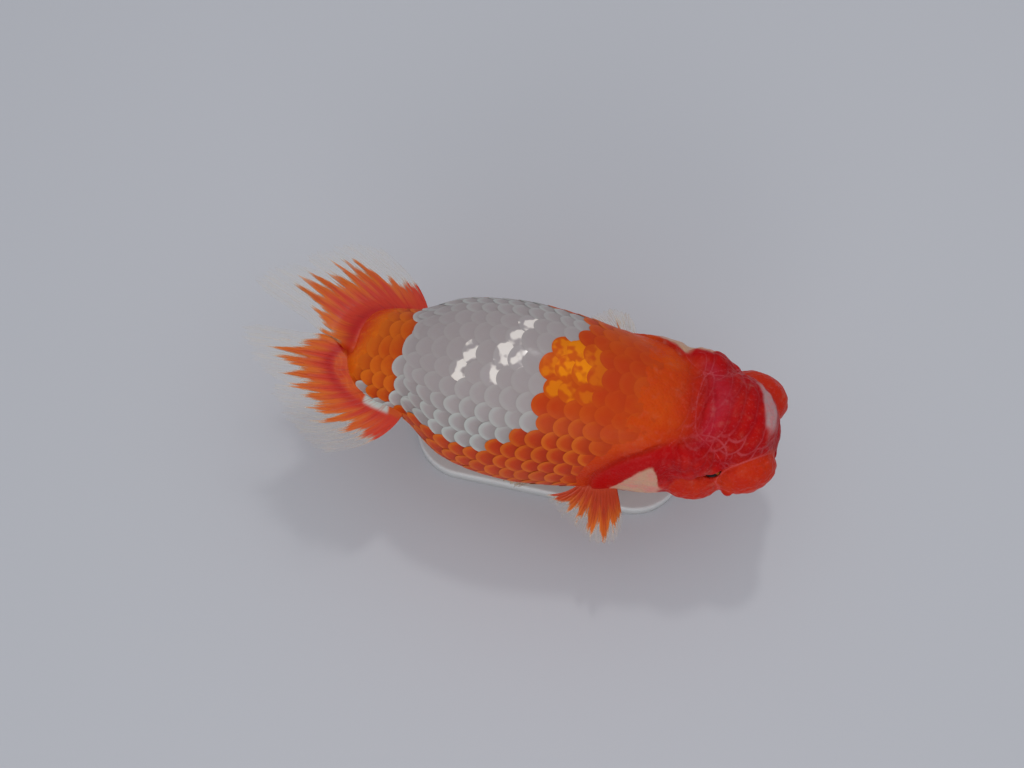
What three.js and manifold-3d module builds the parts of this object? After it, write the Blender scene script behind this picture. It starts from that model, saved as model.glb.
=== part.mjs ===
// A ranchu goldfish: a still, life-size model on a plain display stand.
// Millimetres, +Z up. The fish looks along +X, its left side is +Y, and the
// origin is the middle of the underside of the stand's base.
//
// Places on the fish are written as [s, y, z]: s is the distance behind the tip
// of the snout, y is to the fish's left and z is above its long axis.

import * as THREE from 'three';
import { mergeVertices } from 'three/addons/utils/BufferGeometryUtils.js';
import Module from 'manifold-3d';

const wasm = await Module();
wasm.setup();

// ---------------------------------------------------------------- dimensions

const GAP = 0.3; // clearance between neighbouring pieces
const FIN_THICKNESS = 0.8;
const FIN_CLEARANCE = 0.4; // between a fin's root and the body's curve

const SNOUT_X = 62; // the snout's tip in front of the stand's middle
const AXIS_HEIGHT = 44; // the fish's long axis above the floor

const BODY_FRONT = 1.2; // where the body's core starts behind the snout
const BODY_REAR = 120; // the fleshy end of the tail stalk
const HEAD_END = 45.5; // head and trunk part here
const TRUNK_END = 97; // trunk and tail stalk part here
const FRONT_ROUNDING = 11; // length over which the core rounds off
const REAR_ROUNDING = 13;
const ROUNDING_POWER = 2.3; // 2 is a quarter circle; more is blunter
const SECTION_POWER = 2.25; // 2 is an ellipse; more is fuller at the shoulders

const EYE_RADIUS = 3.6;
const EYE_PLACE = [17.8, 12.2, 4]; // its centre, on the left side
const ORBIT = [4.3, 7, 3.9]; // half-lengths of the opening through the growths

const MOUTH_PLACE = [1.6, 0, -6.2];
const MOUTH_RADIUS = 2.7; // to the middle of the lips, before they are widened
const LIP_RADIUS = 1.05;
const MOUTH_STRETCH = [1.15, 1.35, 0.85]; // along, across and up

const TAIL_SWAY = 0.1; // how far the tail swings to the left for each mm behind the body
const TAIL_FORK = 0.47; // the share of a side's rays at which its upper lobe ends
const TAIL_SEAM = 0.015; // half of the parting between two lobes, as such a share

const BASE_LENGTH = 80;
const BASE_WIDTH = 34;
const BASE_THICKNESS = 5;
const BASE_CORNER = 15;
const ROD_RADIUS = 1.6;
const ROD_SPREAD = 17; // each rod's distance from the middle of the base

// How finely the surfaces are divided.
const SEGMENTS_AROUND = 30;
const BODY_RINGS = 26;
const HEAD_RINGS = 11;
const TRUNK_RINGS = 12;
const STALK_RINGS = 9;
const LOBE_SEGMENTS = 14;
const LOBE_RINGS = 10;
const LIP_SEGMENTS = 7;
const MOUTH_SEGMENTS = 14;
const FIN_RAYS = 7;
const TAIL_RAY_STEPS = 6;
const PAIRED_RAY_STEPS = 4;
const ROD_SEGMENTS = 20;
const CORNER_SEGMENTS = 8;

// ------------------------------------------------------------------- colours

const FLESH = {
  crown: 0xb01419,
  lobes: 0xc8300f,
  cream: 0xd9b79a,
  orange: 0xd2500f,
  pearl: 0xc9c1c6,
  stalk: 0xc8480f,
  fin: 0xd8430f,
  pale: 0xe0cdb8,
};
const EYE_COLOR = 0x14100e;
const PLATE_COLOR = 0xe6e4df;
const STEEL_COLOR = 0xb9bcc0;

function skin(color) {
  return new THREE.MeshStandardMaterial({ color, roughness: 0.42, metalness: 0 });
}

// ------------------------------------------------------------ small machinery

// A smooth curve through stations [position, value], flat beyond its ends.
function profile(stations) {
  const slope = stations.map((station, i) => {
    const before = stations[Math.max(i - 1, 0)];
    const after = stations[Math.min(i + 1, stations.length - 1)];
    return (after[1] - before[1]) / (after[0] - before[0]);
  });
  return (position) => {
    const last = stations.length - 1;
    if (position <= stations[0][0]) return stations[0][1];
    if (position >= stations[last][0]) return stations[last][1];
    const i = stations.findIndex((station) => station[0] > position) - 1;
    const span = stations[i + 1][0] - stations[i][0];
    const t = (position - stations[i][0]) / span;
    const ease = t * t * (3 - 2 * t);
    const value = stations[i][1] * (1 - ease) + stations[i + 1][1] * ease;
    const bend = t * (1 - t) * (1 - t) * slope[i] - t * t * (1 - t) * slope[i + 1];
    return value + bend * span;
  };
}

// A smooth path through points of [s, y, z], evaluated at 0..1.
function path(points) {
  const steps = points.map((point, i) => i / (points.length - 1));
  const axes = [0, 1, 2].map((axis) => profile(points.map((point, i) => [steps[i], point[axis]])));
  return (t) => axes.map((axis) => axis(t));
}

// One closed surface from rings of points that all have the same even count.
// An end is closed by a ladder of faces across its ring, which suits a bowed
// strip as well as a round section.
function loft(rings) {
  const count = rings[0].length;
  const positions = rings.flat(2);
  const faces = [];
  for (let r = 0; r + 1 < rings.length; r += 1) {
    for (let k = 0; k < count; k += 1) {
      const a = r * count + k;
      const b = r * count + ((k + 1) % count);
      faces.push(a, b, a + count, b, b + count, a + count);
    }
  }
  for (const [start, flip] of [[0, false], [(rings.length - 1) * count, true]]) {
    for (let k = 0; k + 1 < count / 2; k += 1) {
      const opposite = start + count - 1 - k;
      const rung = [start + k, opposite, start + k + 1, start + k + 1, opposite, opposite - 1];
      faces.push(...(flip ? rung.reverse() : rung));
    }
  }
  const geometry = closedGeometry(positions, faces);
  return solid(geometry).volume() > 0 ? geometry : turnedOut(geometry);
}

function turnedOut(geometry) {
  const index = [...geometry.index.array];
  for (let i = 0; i < index.length; i += 3) [index[i], index[i + 1]] = [index[i + 1], index[i]];
  geometry.setIndex(index);
  return geometry;
}

// One of the ready-made geometries, reduced to its places and closed.
function closedShape(geometry) {
  const plain = geometry.index ? geometry : mergeVertices(geometry);
  return closedGeometry([...plain.attributes.position.array], [...plain.index.array]);
}

// Merges equal points and drops the faces that they collapse.
function closedGeometry(positions, faces) {
  const raw = new THREE.BufferGeometry();
  raw.setAttribute('position', new THREE.Float32BufferAttribute(positions, 3));
  raw.setIndex(faces);
  const merged = mergeVertices(raw, 1e-3);
  const index = [...merged.index.array];
  const kept = [];
  for (let i = 0; i < index.length; i += 3) {
    const [a, b, c] = index.slice(i, i + 3);
    if (a !== b && b !== c && c !== a) kept.push(a, b, c);
  }
  merged.setIndex(kept);
  return merged;
}

// Moves every point outwards by a distance, so that a neighbour cut with the
// result keeps that clearance.
function grown(geometry, distance) {
  const copy = geometry.clone();
  copy.computeVertexNormals();
  const position = copy.attributes.position;
  const normal = copy.attributes.normal;
  const point = new THREE.Vector3();
  const push = new THREE.Vector3();
  for (let i = 0; i < position.count; i += 1) {
    point.fromBufferAttribute(position, i);
    push.fromBufferAttribute(normal, i);
    point.addScaledVector(push, distance);
    position.setXYZ(i, point.x, point.y, point.z);
  }
  copy.deleteAttribute('normal');
  return copy;
}

function solid(geometry) {
  const vertProperties = new Float32Array(geometry.attributes.position.array);
  const triVerts = new Uint32Array(geometry.index.array);
  return new wasm.Manifold(new wasm.Mesh({ numProp: 3, vertProperties, triVerts }));
}

function geometryOf(manifold) {
  const pieces = manifold.decompose().sort((a, b) => b.volume() - a.volume());
  const mesh = pieces[0].getMesh();
  return closedGeometry([...mesh.vertProperties], [...mesh.triVerts]);
}

// A geometry less its neighbours, each grown by the clearance first.
function cutBy(geometry, neighbours) {
  let rest = solid(geometry);
  for (const neighbour of neighbours) rest = rest.subtract(solid(grown(neighbour, GAP)));
  return geometryOf(rest);
}

// [s, y, z] on the fish as a point of the model's own frame.
function place([s, y, z]) {
  return [SNOUT_X - s, y, AXIS_HEIGHT + z];
}

// ------------------------------------------------------------- body's outline

const halfWidth = profile([
  [0, 15.5], [10, 15.2], [24, 16.6], [36, 18.8], [47, 20.9], [59, 22.6], [72, 23.6],
  [84, 22.5], [92, 20.4], [101, 15], [108, 13.8], [120, 13],
]);
const topLine = profile([
  [0, 11], [10, 12.2], [22, 15.4], [34, 19], [48, 22], [62, 24], [75, 24.2],
  [88, 21.8], [99, 17.2], [109, 12.8], [120, 10.5],
]);
const bottomLine = profile([
  [0, -10.4], [8, -14.2], [20, -18.8], [32, -22.6], [46, -26.4], [60, -29], [74, -29.4],
  [86, -26.4], [95, -20.4], [103, -12.4], [111, -7.4], [120, -6],
]);
const widestLevel = profile([[0, -2], [30, -5], [60, -7], [86, -6.4], [100, -0.8], [120, 1.8]]);

// How far a section has opened behind a rounded end: 0 at the end, 1 past it.
function opening(distance, rounding) {
  if (distance >= rounding) return 1;
  const rest = (rounding - Math.max(distance, 0)) / rounding;
  return (1 - rest ** ROUNDING_POWER) ** (1 / ROUNDING_POWER);
}

function signedPower(value, power) {
  return Math.sign(value) * Math.abs(value) ** power;
}

function bodyPoint(s, angle) {
  const open = opening(s - BODY_FRONT, FRONT_ROUNDING) * opening(BODY_REAR - s, REAR_ROUNDING);
  const level = widestLevel(s);
  const across = signedPower(Math.cos(angle), 2 / SECTION_POWER);
  const upward = signedPower(Math.sin(angle), 2 / SECTION_POWER);
  const reach = upward > 0 ? topLine(s) - level : level - bottomLine(s);
  return [s, halfWidth(s) * open * across, level + reach * open * upward];
}

const SETTLING_PASSES = 4;

// A point of [s, y, z] moved to just outside the body. It goes straight away
// from the body's middle line, which stops short of both rounded ends.
function besideBody(point) {
  let spot = new THREE.Vector3(...point);
  const middle = new THREE.Vector3();
  for (let pass = 0; pass < SETTLING_PASSES; pass += 1) {
    const [s, y, z] = spot.toArray();
    const level = widestLevel(s);
    const inFront = Math.max(1 - (s - BODY_FRONT) / FRONT_ROUNDING, 0);
    const behind = Math.max(1 - (BODY_REAR - s) / REAR_ROUNDING, 0);
    const reach = z > level ? topLine(s) - level : level - bottomLine(s);
    const across = Math.abs(y / halfWidth(s)) ** SECTION_POWER;
    const upward = Math.abs((z - level) / reach) ** SECTION_POWER;
    const around = (across + upward) ** (ROUNDING_POWER / SECTION_POWER);
    const ends = inFront ** ROUNDING_POWER + behind ** ROUNDING_POWER;
    const share = (around + ends) ** (1 / ROUNDING_POWER);
    middle.set(s + inFront * FRONT_ROUNDING - behind * REAR_ROUNDING, 0, level);
    spot = spot.sub(middle).divideScalar(share).add(middle);
  }
  const outwards = spot.clone().sub(middle).normalize();
  return spot.addScaledVector(outwards, FIN_CLEARANCE).toArray();
}

// The body between two distances behind the snout. Rings crowd towards a
// rounded end, where the outline turns fastest.
function bodyLength(from, to, count, roundFront, roundRear) {
  const rings = [];
  for (let i = 0; i <= count; i += 1) {
    let u = i / count;
    if (roundFront && roundRear) u = (1 - Math.cos(Math.PI * u)) / 2;
    else if (roundFront) u = 1 - Math.cos((Math.PI / 2) * u);
    else if (roundRear) u = Math.sin((Math.PI / 2) * u);
    const s = from + (to - from) * u;
    const ring = [];
    for (let k = 0; k < SEGMENTS_AROUND; k += 1) {
      ring.push(place(bodyPoint(s, (2 * Math.PI * k) / SEGMENTS_AROUND)));
    }
    rings.push(ring);
  }
  return loft(rings);
}

const wholeBody = bodyLength(BODY_FRONT, BODY_REAR, BODY_RINGS, true, true);

// --------------------------------------------------------- growths on the head

// An ellipsoid at [s, y, z] with half-lengths along, across and up.
// Turn is about Z and tilt about the fish's cross axis, both in degrees.
function lobe([s, y, z], [along, across, up], turn = 0, tilt = 0) {
  const ball = new THREE.SphereGeometry(1, LOBE_SEGMENTS, LOBE_RINGS);
  ball.scale(along, across, up);
  ball.rotateY(THREE.MathUtils.degToRad(tilt));
  ball.rotateZ(THREE.MathUtils.degToRad(turn));
  ball.translate(...place([s, y, z]));
  return closedShape(ball);
}

function eye(side) {
  const [s, y, z] = EYE_PLACE;
  return lobe([s, side * y, z], [EYE_RADIUS, EYE_RADIUS, EYE_RADIUS]);
}

// The hollow that keeps the growths clear of the front of the eye.
function orbit(side) {
  const [s, y, z] = EYE_PLACE;
  return lobe([s, side * (y + ORBIT[1] / 2), z], ORBIT);
}

// The growths in the order in which each keeps its shape: a later one is cut
// where it meets an earlier one.
function headLobes() {
  const lobes = new Map();
  lobes.set('nasal_lobe_left', lobe([8.6, 10.5, -0.5], [8.8, 6.7, 8.8], -14));
  lobes.set('nasal_lobe_right', lobe([8.8, -10.2, -0.5], [8.8, 6.4, 8.6], 24));
  for (const [name, side] of [['left', 1], ['right', -1]]) {
    lobes.set(`cheek_lobe_${name}`, lobe([22.4, side * 12.3, -4.8], [9.4, 7.9, 9.6]));
    lobes.set(`gill_cover_${name}`, lobe([35.5, side * 12.4, -2], [12, 8.2, 14.6], side * 4));
    lobes.set(`temple_lobe_${name}`, lobe([25, side * 11.8, 6.6], [10.5, 6.2, 8], side * 3));
  }
  lobes.set('crown', lobe([16.6, 0, 7.4], [15, 13, 11], 0, -4));
  lobes.set('snout', lobe([4.6, 0, 0], [4.8, 7, 6]));
  return lobes;
}

function mouth() {
  const ring = new THREE.TorusGeometry(MOUTH_RADIUS, LIP_RADIUS, LIP_SEGMENTS, MOUTH_SEGMENTS);
  ring.rotateY(Math.PI / 2);
  ring.scale(...MOUTH_STRETCH);
  ring.translate(...place(MOUTH_PLACE));
  return closedShape(ring);
}

// ----------------------------------------------------------------------- fins

function minus(a, b) {
  return a.map((value, i) => value - b[i]);
}

function unit(vector) {
  return new THREE.Vector3(...vector).normalize();
}

// A thin solid fan of rays. point(ray, reach) gives [s, y, z], with ray 0..1
// across the fan and reach 0..1 from its root to its edge.
function fan(point, rays, steps) {
  const rows = [];
  const nudge = 0.02;
  for (let i = 0; i <= rays; i += 1) {
    const ray = i / rays;
    const front = [];
    const back = [];
    for (let j = 0; j <= steps; j += 1) {
      const reach = j / steps;
      const [nearer, farther] = [Math.max(reach - nudge, 0), Math.min(reach + nudge, 1)];
      const [before, after] = [Math.max(ray - nudge, 0), Math.min(ray + nudge, 1)];
      const alongRay = minus(point(ray, farther), point(ray, nearer));
      const acrossRay = minus(point(after, reach), point(before, reach));
      const normal = unit(alongRay).cross(unit(acrossRay)).normalize();
      const middle = point(ray, reach);
      const offset = normal.multiplyScalar(FIN_THICKNESS / 2).toArray();
      front.push(place(middle.map((value, k) => value + offset[k])));
      back.unshift(place(middle.map((value, k) => value - offset[k])));
    }
    rows.push([...front, ...back]);
  }
  return loft(rows);
}

function mix(a, b, t) {
  return a.map((value, i) => value * (1 - t) + b[i] * t);
}

// A ray bows from its root to its tip through one control point.
function bowed(root, control, tip, reach) {
  return mix(mix(root, control, reach), mix(control, tip, reach), reach);
}

// The double tail fin. Each side is one fan from the midline at the rear to
// the shoulder at the front. It sways a little to the fish's left.
const tailRoot = path([
  [118.5, 0, 4.6], [117, 5.6, 4.2], [113, 10.6, 3], [107, 13.4, 1.6], [100.5, 14.8, 0.6],
]);
const tailBow = path([
  [130, 1.2, 9.5], [128, 8.5, 9], [124, 16, 7], [115, 22.5, 3], [103.5, 25.4, -2],
]);
const tailTip = path([
  [148.5, 6, 14], [144, 12.4, 12.4], [137.6, 18.6, 10], [131, 25.4, 7.4], [121.5, 31.8, 4.2],
]);

function tailPoint(side, ray, reach) {
  const root = besideBody(tailRoot(ray));
  const [s, y, z] = bowed(root, tailBow(ray), tailTip(ray), reach);
  return [s, side * y + TAIL_SWAY * Math.max(s - BODY_REAR, 0), z];
}

function tailLobe(side, fromRay, toRay) {
  const point = (ray, reach) => tailPoint(side, fromRay + (toRay - fromRay) * ray, reach);
  return fan(point, FIN_RAYS, TAIL_RAY_STEPS);
}

// A paired fin as a fan. Its root, the bow of its rays and its edge are paths
// of [s, y, z], each from the front ray to the rear one.
function pairedFin(side, { root, control, tip }) {
  const rootPath = path(root);
  const controlPath = path(control);
  const tipPath = path(tip);
  const point = (ray, reach) => {
    const [s, y, z] = bowed(besideBody(rootPath(ray)), controlPath(ray), tipPath(ray), reach);
    return [s, side * y, z];
  };
  return fan(point, FIN_RAYS, PAIRED_RAY_STEPS);
}

const PECTORAL_RIGHT = {
  root: [[41.5, 18.5, -9], [45.5, 19.6, -10.4], [50, 19.8, -11.6]],
  control: [[38.5, 24.5, -9.6], [44.4, 26, -12.2], [53.6, 24, -13.4]],
  tip: [[36.6, 30.2, -11], [38.6, 34.8, -13.6], [44.6, 35.2, -16], [52.4, 30.2, -17], [60.6, 24.2, -16]],
};
const PECTORAL_LEFT = {
  root: [[42.5, 18.6, -9], [45.5, 19.6, -10.4], [49, 19.6, -11.6]],
  control: [[43.4, 25, -10], [48.4, 27, -12.4], [53.4, 26.4, -13.4]],
  tip: [[44.6, 30, -12], [48.6, 34.4, -14.6], [54.6, 34, -16.6], [59.6, 29.6, -17.4], [60, 25.4, -16.6]],
};
const PELVIC = {
  root: [[55, 9.5, -26.5], [58, 8, -28], [61.5, 6.4, -28.6]],
  control: [[60, 14.5, -30], [64, 12, -32], [67, 8, -32]],
  tip: [[66.5, 19.4, -31.4], [71.5, 18.6, -34.4], [75.5, 14.4, -36], [76.6, 8.6, -35]],
};
const ANAL = {
  root: [[94, 3.4, -19.6], [97, 3.2, -17], [100.5, 3, -14]],
  control: [[99.5, 4.6, -23.4], [103, 4.6, -20], [104.6, 4.2, -15.5]],
  tip: [[105.5, 6, -26.4], [110.4, 6.6, -24.6], [113, 6.2, -20], [111.4, 5.4, -15.6]],
};

// ---------------------------------------------------------------------- stand

function standBase() {
  const shape = new THREE.Shape();
  const x = BASE_LENGTH / 2 - BASE_CORNER;
  const y = BASE_WIDTH / 2 - BASE_CORNER;
  shape.absarc(x, y, BASE_CORNER, 0, Math.PI / 2);
  shape.absarc(-x, y, BASE_CORNER, Math.PI / 2, Math.PI);
  shape.absarc(-x, -y, BASE_CORNER, Math.PI, Math.PI * 1.5);
  shape.absarc(x, -y, BASE_CORNER, Math.PI * 1.5, Math.PI * 2);
  const plate = new THREE.ExtrudeGeometry(shape, {
    depth: BASE_THICKNESS, bevelEnabled: false, curveSegments: CORNER_SEGMENTS,
  });
  return closedShape(plate);
}

// A rod from the base's top up to the belly above it.
function standRod(x) {
  const height = AXIS_HEIGHT - BASE_THICKNESS;
  const rod = new THREE.CylinderGeometry(ROD_RADIUS, ROD_RADIUS, height, ROD_SEGMENTS);
  rod.rotateX(Math.PI / 2);
  rod.translate(x, 0, BASE_THICKNESS + height / 2);
  return cutBy(closedShape(rod), [wholeBody]);
}

// ------------------------------------------------------------------- assembly

const model = new THREE.Group();
const fish = new THREE.Group();
const stand = new THREE.Group();
model.add(fish, stand);

function addPiece(group, name, geometry, material) {
  const mesh = new THREE.Mesh(geometry, material);
  mesh.name = name;
  group.add(mesh);
}

const eyes = new Map([['eye_left', eye(1)], ['eye_right', eye(-1)]]);
const lobes = headLobes();
const lips = cutBy(mouth(), [wholeBody]);

for (const [name, ball] of eyes) {
  const glossy = new THREE.MeshStandardMaterial({ color: EYE_COLOR, roughness: 0.08, metalness: 0 });
  addPiece(fish, name, ball, glossy);
}

const cutters = [...eyes.values(), orbit(1), orbit(-1), wholeBody, lips];
for (const [name, growth] of lobes) {
  const color = name.startsWith('gill') ? FLESH.cream : name === 'crown' ? FLESH.crown : FLESH.lobes;
  addPiece(fish, name, cutBy(growth, cutters), skin(color));
  cutters.push(growth);
}
addPiece(fish, 'lips', lips, skin(FLESH.lobes));

const headCore = bodyLength(BODY_FRONT, HEAD_END, HEAD_RINGS, true, false);
addPiece(fish, 'head', cutBy(headCore, eyes.values()), skin(FLESH.orange));
const trunk = bodyLength(HEAD_END + GAP, TRUNK_END, TRUNK_RINGS, false, false);
addPiece(fish, 'trunk', trunk, skin(FLESH.pearl));
const tailStalk = bodyLength(TRUNK_END + GAP, BODY_REAR, STALK_RINGS, false, true);
addPiece(fish, 'tail_stalk', tailStalk, skin(FLESH.stalk));

for (const [name, side] of [['left', 1], ['right', -1]]) {
  const pectoral = side > 0 ? PECTORAL_LEFT : PECTORAL_RIGHT;
  addPiece(fish, `pectoral_fin_${name}`, pairedFin(side, pectoral), skin(FLESH.fin));
  addPiece(fish, `pelvic_fin_${name}`, pairedFin(side, PELVIC), skin(FLESH.pale));
  addPiece(fish, `anal_fin_${name}`, pairedFin(side, ANAL), skin(FLESH.pale));
  const upper = tailLobe(side, TAIL_SEAM, TAIL_FORK - TAIL_SEAM);
  const lower = tailLobe(side, TAIL_FORK + TAIL_SEAM, 1);
  addPiece(fish, `tail_upper_lobe_${name}`, upper, skin(FLESH.fin));
  addPiece(fish, `tail_lower_lobe_${name}`, lower, skin(FLESH.fin));
}

const plateFinish = new THREE.MeshStandardMaterial({ color: PLATE_COLOR, roughness: 0.45, metalness: 0 });
const steel = new THREE.MeshStandardMaterial({ color: STEEL_COLOR, roughness: 0.28, metalness: 1 });
addPiece(stand, 'stand_base', standBase(), plateFinish);
addPiece(stand, 'stand_rod_front', standRod(ROD_SPREAD), steel);
addPiece(stand, 'stand_rod_rear', standRod(-ROD_SPREAD), steel);

export default model;
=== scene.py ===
"""A ranchu goldfish on a plain display stand: its skin, scales, fins, eyes, stand and studio.

The fish's own sizes are in millimetres, as [s, y, z]: s is the distance behind the tip of the snout,
y is to the fish's left and z is above its long axis. Angles around the body are in degrees: 0 is the
back, positive angles go down its right side. Blender's own lengths are in metres.
"""

import itertools
import math

import bpy
import numpy as np
from bpy.props import FloatProperty, FloatVectorProperty, IntProperty, PointerProperty
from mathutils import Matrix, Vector, noise


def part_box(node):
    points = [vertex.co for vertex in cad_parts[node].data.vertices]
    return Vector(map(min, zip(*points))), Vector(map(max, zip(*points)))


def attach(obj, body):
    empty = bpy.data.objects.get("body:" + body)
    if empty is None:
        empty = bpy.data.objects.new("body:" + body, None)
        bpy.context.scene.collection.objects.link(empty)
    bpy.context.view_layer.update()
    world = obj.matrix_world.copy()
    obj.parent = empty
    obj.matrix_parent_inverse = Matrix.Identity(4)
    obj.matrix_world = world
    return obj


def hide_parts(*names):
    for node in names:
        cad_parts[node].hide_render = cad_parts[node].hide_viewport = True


bl_info = {
    "name": "Ranchu goldfish model",
    "version": (1, 0, 0),
    "blender": (4, 5, 0),
    "location": "3D View > Sidebar > Goldfish",
    "description": "Builds a still ranchu goldfish and its display stand around the fixed frame",
    "category": "Object",
}

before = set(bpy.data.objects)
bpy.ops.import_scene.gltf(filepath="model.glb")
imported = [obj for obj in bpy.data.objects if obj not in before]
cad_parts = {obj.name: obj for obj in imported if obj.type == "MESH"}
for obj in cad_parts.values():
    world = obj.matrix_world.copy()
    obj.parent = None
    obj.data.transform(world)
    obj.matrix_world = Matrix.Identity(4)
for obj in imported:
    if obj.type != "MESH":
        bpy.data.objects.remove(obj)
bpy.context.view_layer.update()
MM = 0.001

# ---- the body's own sizes

BODY_FRONT = 1.2
BODY_REAR = 120.0
HEAD_END = 45.5
GAP = 0.3  # from the head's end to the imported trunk
FRONT_ROUNDING = 11.0
REAR_ROUNDING = 13.0
ROUNDING_POWER = 2.3
SECTION_POWER = 2.25
SETTLING_STEPS = 4
EYE_PLACE = (17.8, 12.2, 4.0)
MOUTH_PLACE = (1.6, 0.0, -6.2)
MOUTH_RADIUS = 2.7
LIP_RADIUS = 1.05
MOUTH_STRETCH = (1.15, 1.35, 0.85)
MOUTH_OPENING = (2.6, 2.7, 1.25)
TAIL_SWAY = 0.1  # how far the tail goes to the left with each millimetre behind the body
TAIL_FORK = (0.47, 0.035)  # the ray at which each side of the tail is forked, and the fork's width
SIDES = (("left", 1), ("right", -1))
SEEDS = {"lobules": 3, "scales": 7, "tail": 20, "paired_fins": 40}


def centre_of(node):
    low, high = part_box(node)
    return (low + high) / 2


# The snout's place and the axis's height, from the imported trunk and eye.
SNOUT_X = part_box("trunk")[1].x / MM + HEAD_END + GAP
AXIS_HEIGHT = centre_of("eye_left").z / MM - EYE_PLACE[2]
EYE_RADIUS = (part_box("eye_left")[1].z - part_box("eye_left")[0].z) / 2 / MM


# ---- small machinery


def profile(stations):
    """A smooth curve through stations of (position, value), flat beyond its ends."""
    places, values = np.array(stations, float).T
    after = np.minimum(np.arange(len(places)) + 1, len(places) - 1)
    before = np.maximum(np.arange(len(places)) - 1, 0)
    slopes = (values[after] - values[before]) / (places[after] - places[before])

    def curve(position):
        position = np.clip(position, places[0], places[-1])
        i = np.clip(np.searchsorted(places, position, "right") - 1, 0, len(places) - 2)
        span = places[i + 1] - places[i]
        t = (position - places[i]) / span
        ease = t * t * (3 - 2 * t)
        bend = t * (1 - t) * (1 - t) * slopes[i] - t * t * (1 - t) * slopes[i + 1]
        return values[i] * (1 - ease) + values[i + 1] * ease + bend * span

    return curve


def path(points):
    """A smooth path through points of [s, y, z], evaluated at 0..1."""
    steps = np.linspace(0, 1, len(points))
    axes = [profile(list(zip(steps, values))) for values in zip(*points)]
    return lambda t: np.stack([axis(t) for axis in axes], -1)


def smoothstep(low, high, value):
    t = np.clip((value - low) / (high - low), 0, 1)
    return t * t * (3 - 2 * t)


def hump(value, middle, width):
    """1 at the middle, falling smoothly to almost 0 at twice the width."""
    return np.exp(-(((value - middle) / width) ** 2))


def signed_power(value, power):
    return np.sign(value) * np.abs(value) ** power


def in_frame(points):
    """Points of [s, y, z] in millimetres as points of the frame in metres."""
    return (np.array([SNOUT_X, 0, AXIS_HEIGHT]) + points * np.array([-1, 1, 1])) * MM


# ---- the body's curve

half_width = profile([
    (0, 15.5), (10, 15.2), (24, 16.6), (36, 18.8), (47, 20.9), (59, 22.6), (72, 23.6),
    (84, 22.5), (92, 20.4), (101, 15), (108, 13.8), (120, 13),
])
top_line = profile([
    (0, 11), (10, 12.2), (22, 15.4), (34, 19), (48, 22), (62, 24), (75, 24.2),
    (88, 21.8), (99, 17.2), (109, 12.8), (120, 10.5),
])
bottom_line = profile([
    (0, -10.4), (8, -14.2), (20, -18.8), (32, -22.6), (46, -26.4), (60, -29), (74, -29.4),
    (86, -26.4), (95, -20.4), (103, -12.4), (111, -7.4), (120, -6),
])
widest_level = profile([(0, -2), (30, -5), (60, -7), (86, -6.4), (100, -0.8), (120, 1.8)])


def opening(distance, rounding):
    """The section's size at a distance from the body's rounded end, from 0 to 1."""
    rest = np.clip((rounding - distance) / rounding, 0, 1)
    return (1 - rest**ROUNDING_POWER) ** (1 / ROUNDING_POWER)


def body_point(s, angle):
    """The body's surface at an angle around it, in degrees from the back to the right."""
    s, angle = np.broadcast_arrays(s, np.radians(angle))
    open_share = opening(s - BODY_FRONT, FRONT_ROUNDING) * opening(BODY_REAR - s, REAR_ROUNDING)
    across = signed_power(np.sin(angle), 2 / SECTION_POWER)
    upward = signed_power(np.cos(angle), 2 / SECTION_POWER)
    level = widest_level(s)
    reach = np.where(upward > 0, top_line(s) - level, level - bottom_line(s))
    return np.stack([s, -half_width(s) * open_share * across, level + reach * open_share * upward], -1)


def body_normal(s, angle):
    """The direction straight out of the body's surface."""
    along = body_point(s + 0.2, angle) - body_point(s - 0.2, angle)
    around = body_point(s, angle + 0.5) - body_point(s, angle - 0.5)
    normal = np.cross(around, along)
    return normal / np.linalg.norm(normal, axis=-1, keepdims=True)


def section_shares(s, y, z):
    """How far out a point is towards the side and towards the back or belly, 1 on the curve."""
    level = widest_level(s)
    reach = np.where(z > level, top_line(s) - level, level - bottom_line(s))
    return y / half_width(s), (z - level) / reach


def angle_around(s, y, z):
    across, upward = section_shares(s, y, z)
    power = SECTION_POWER / 2
    return np.degrees(np.arctan2(-signed_power(across, power), signed_power(upward, power)))


def body_field(s, y, z):
    """How far a point is outside the body's curve, as a length and as a share, and from what middle."""
    across, upward = section_shares(s, y, z)
    in_front = np.maximum(1 - (s - BODY_FRONT) / FRONT_ROUNDING, 0)
    behind = np.maximum(1 - (BODY_REAR - s) / REAR_ROUNDING, 0)
    around = np.abs(across) ** SECTION_POWER + np.abs(upward) ** SECTION_POWER
    ends = in_front**ROUNDING_POWER + behind**ROUNDING_POWER
    share = (around ** (ROUNDING_POWER / SECTION_POWER) + ends) ** (1 / ROUNDING_POWER)
    level = widest_level(s)
    back = in_front * FRONT_ROUNDING - behind * REAR_ROUNDING
    distance = np.sqrt(back**2 + y**2 + (z - level) ** 2)
    return distance * (1 - 1 / np.maximum(share, 1e-3)), share, (s + back, 0.0, level)


def at_body(point, depth):
    """Points moved straight away from the body's middle line to a depth below its curve."""
    for _ in range(SETTLING_STEPS):
        _, share, middle = body_field(*np.moveaxis(point, -1, 0))
        middle = np.stack(np.broadcast_arrays(*middle), -1)
        point = middle + (point - middle) / share[..., None]
    outwards = point - middle
    return point - depth * outwards / np.linalg.norm(outwards, axis=-1, keepdims=True)


# ---- the head's growths

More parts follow.
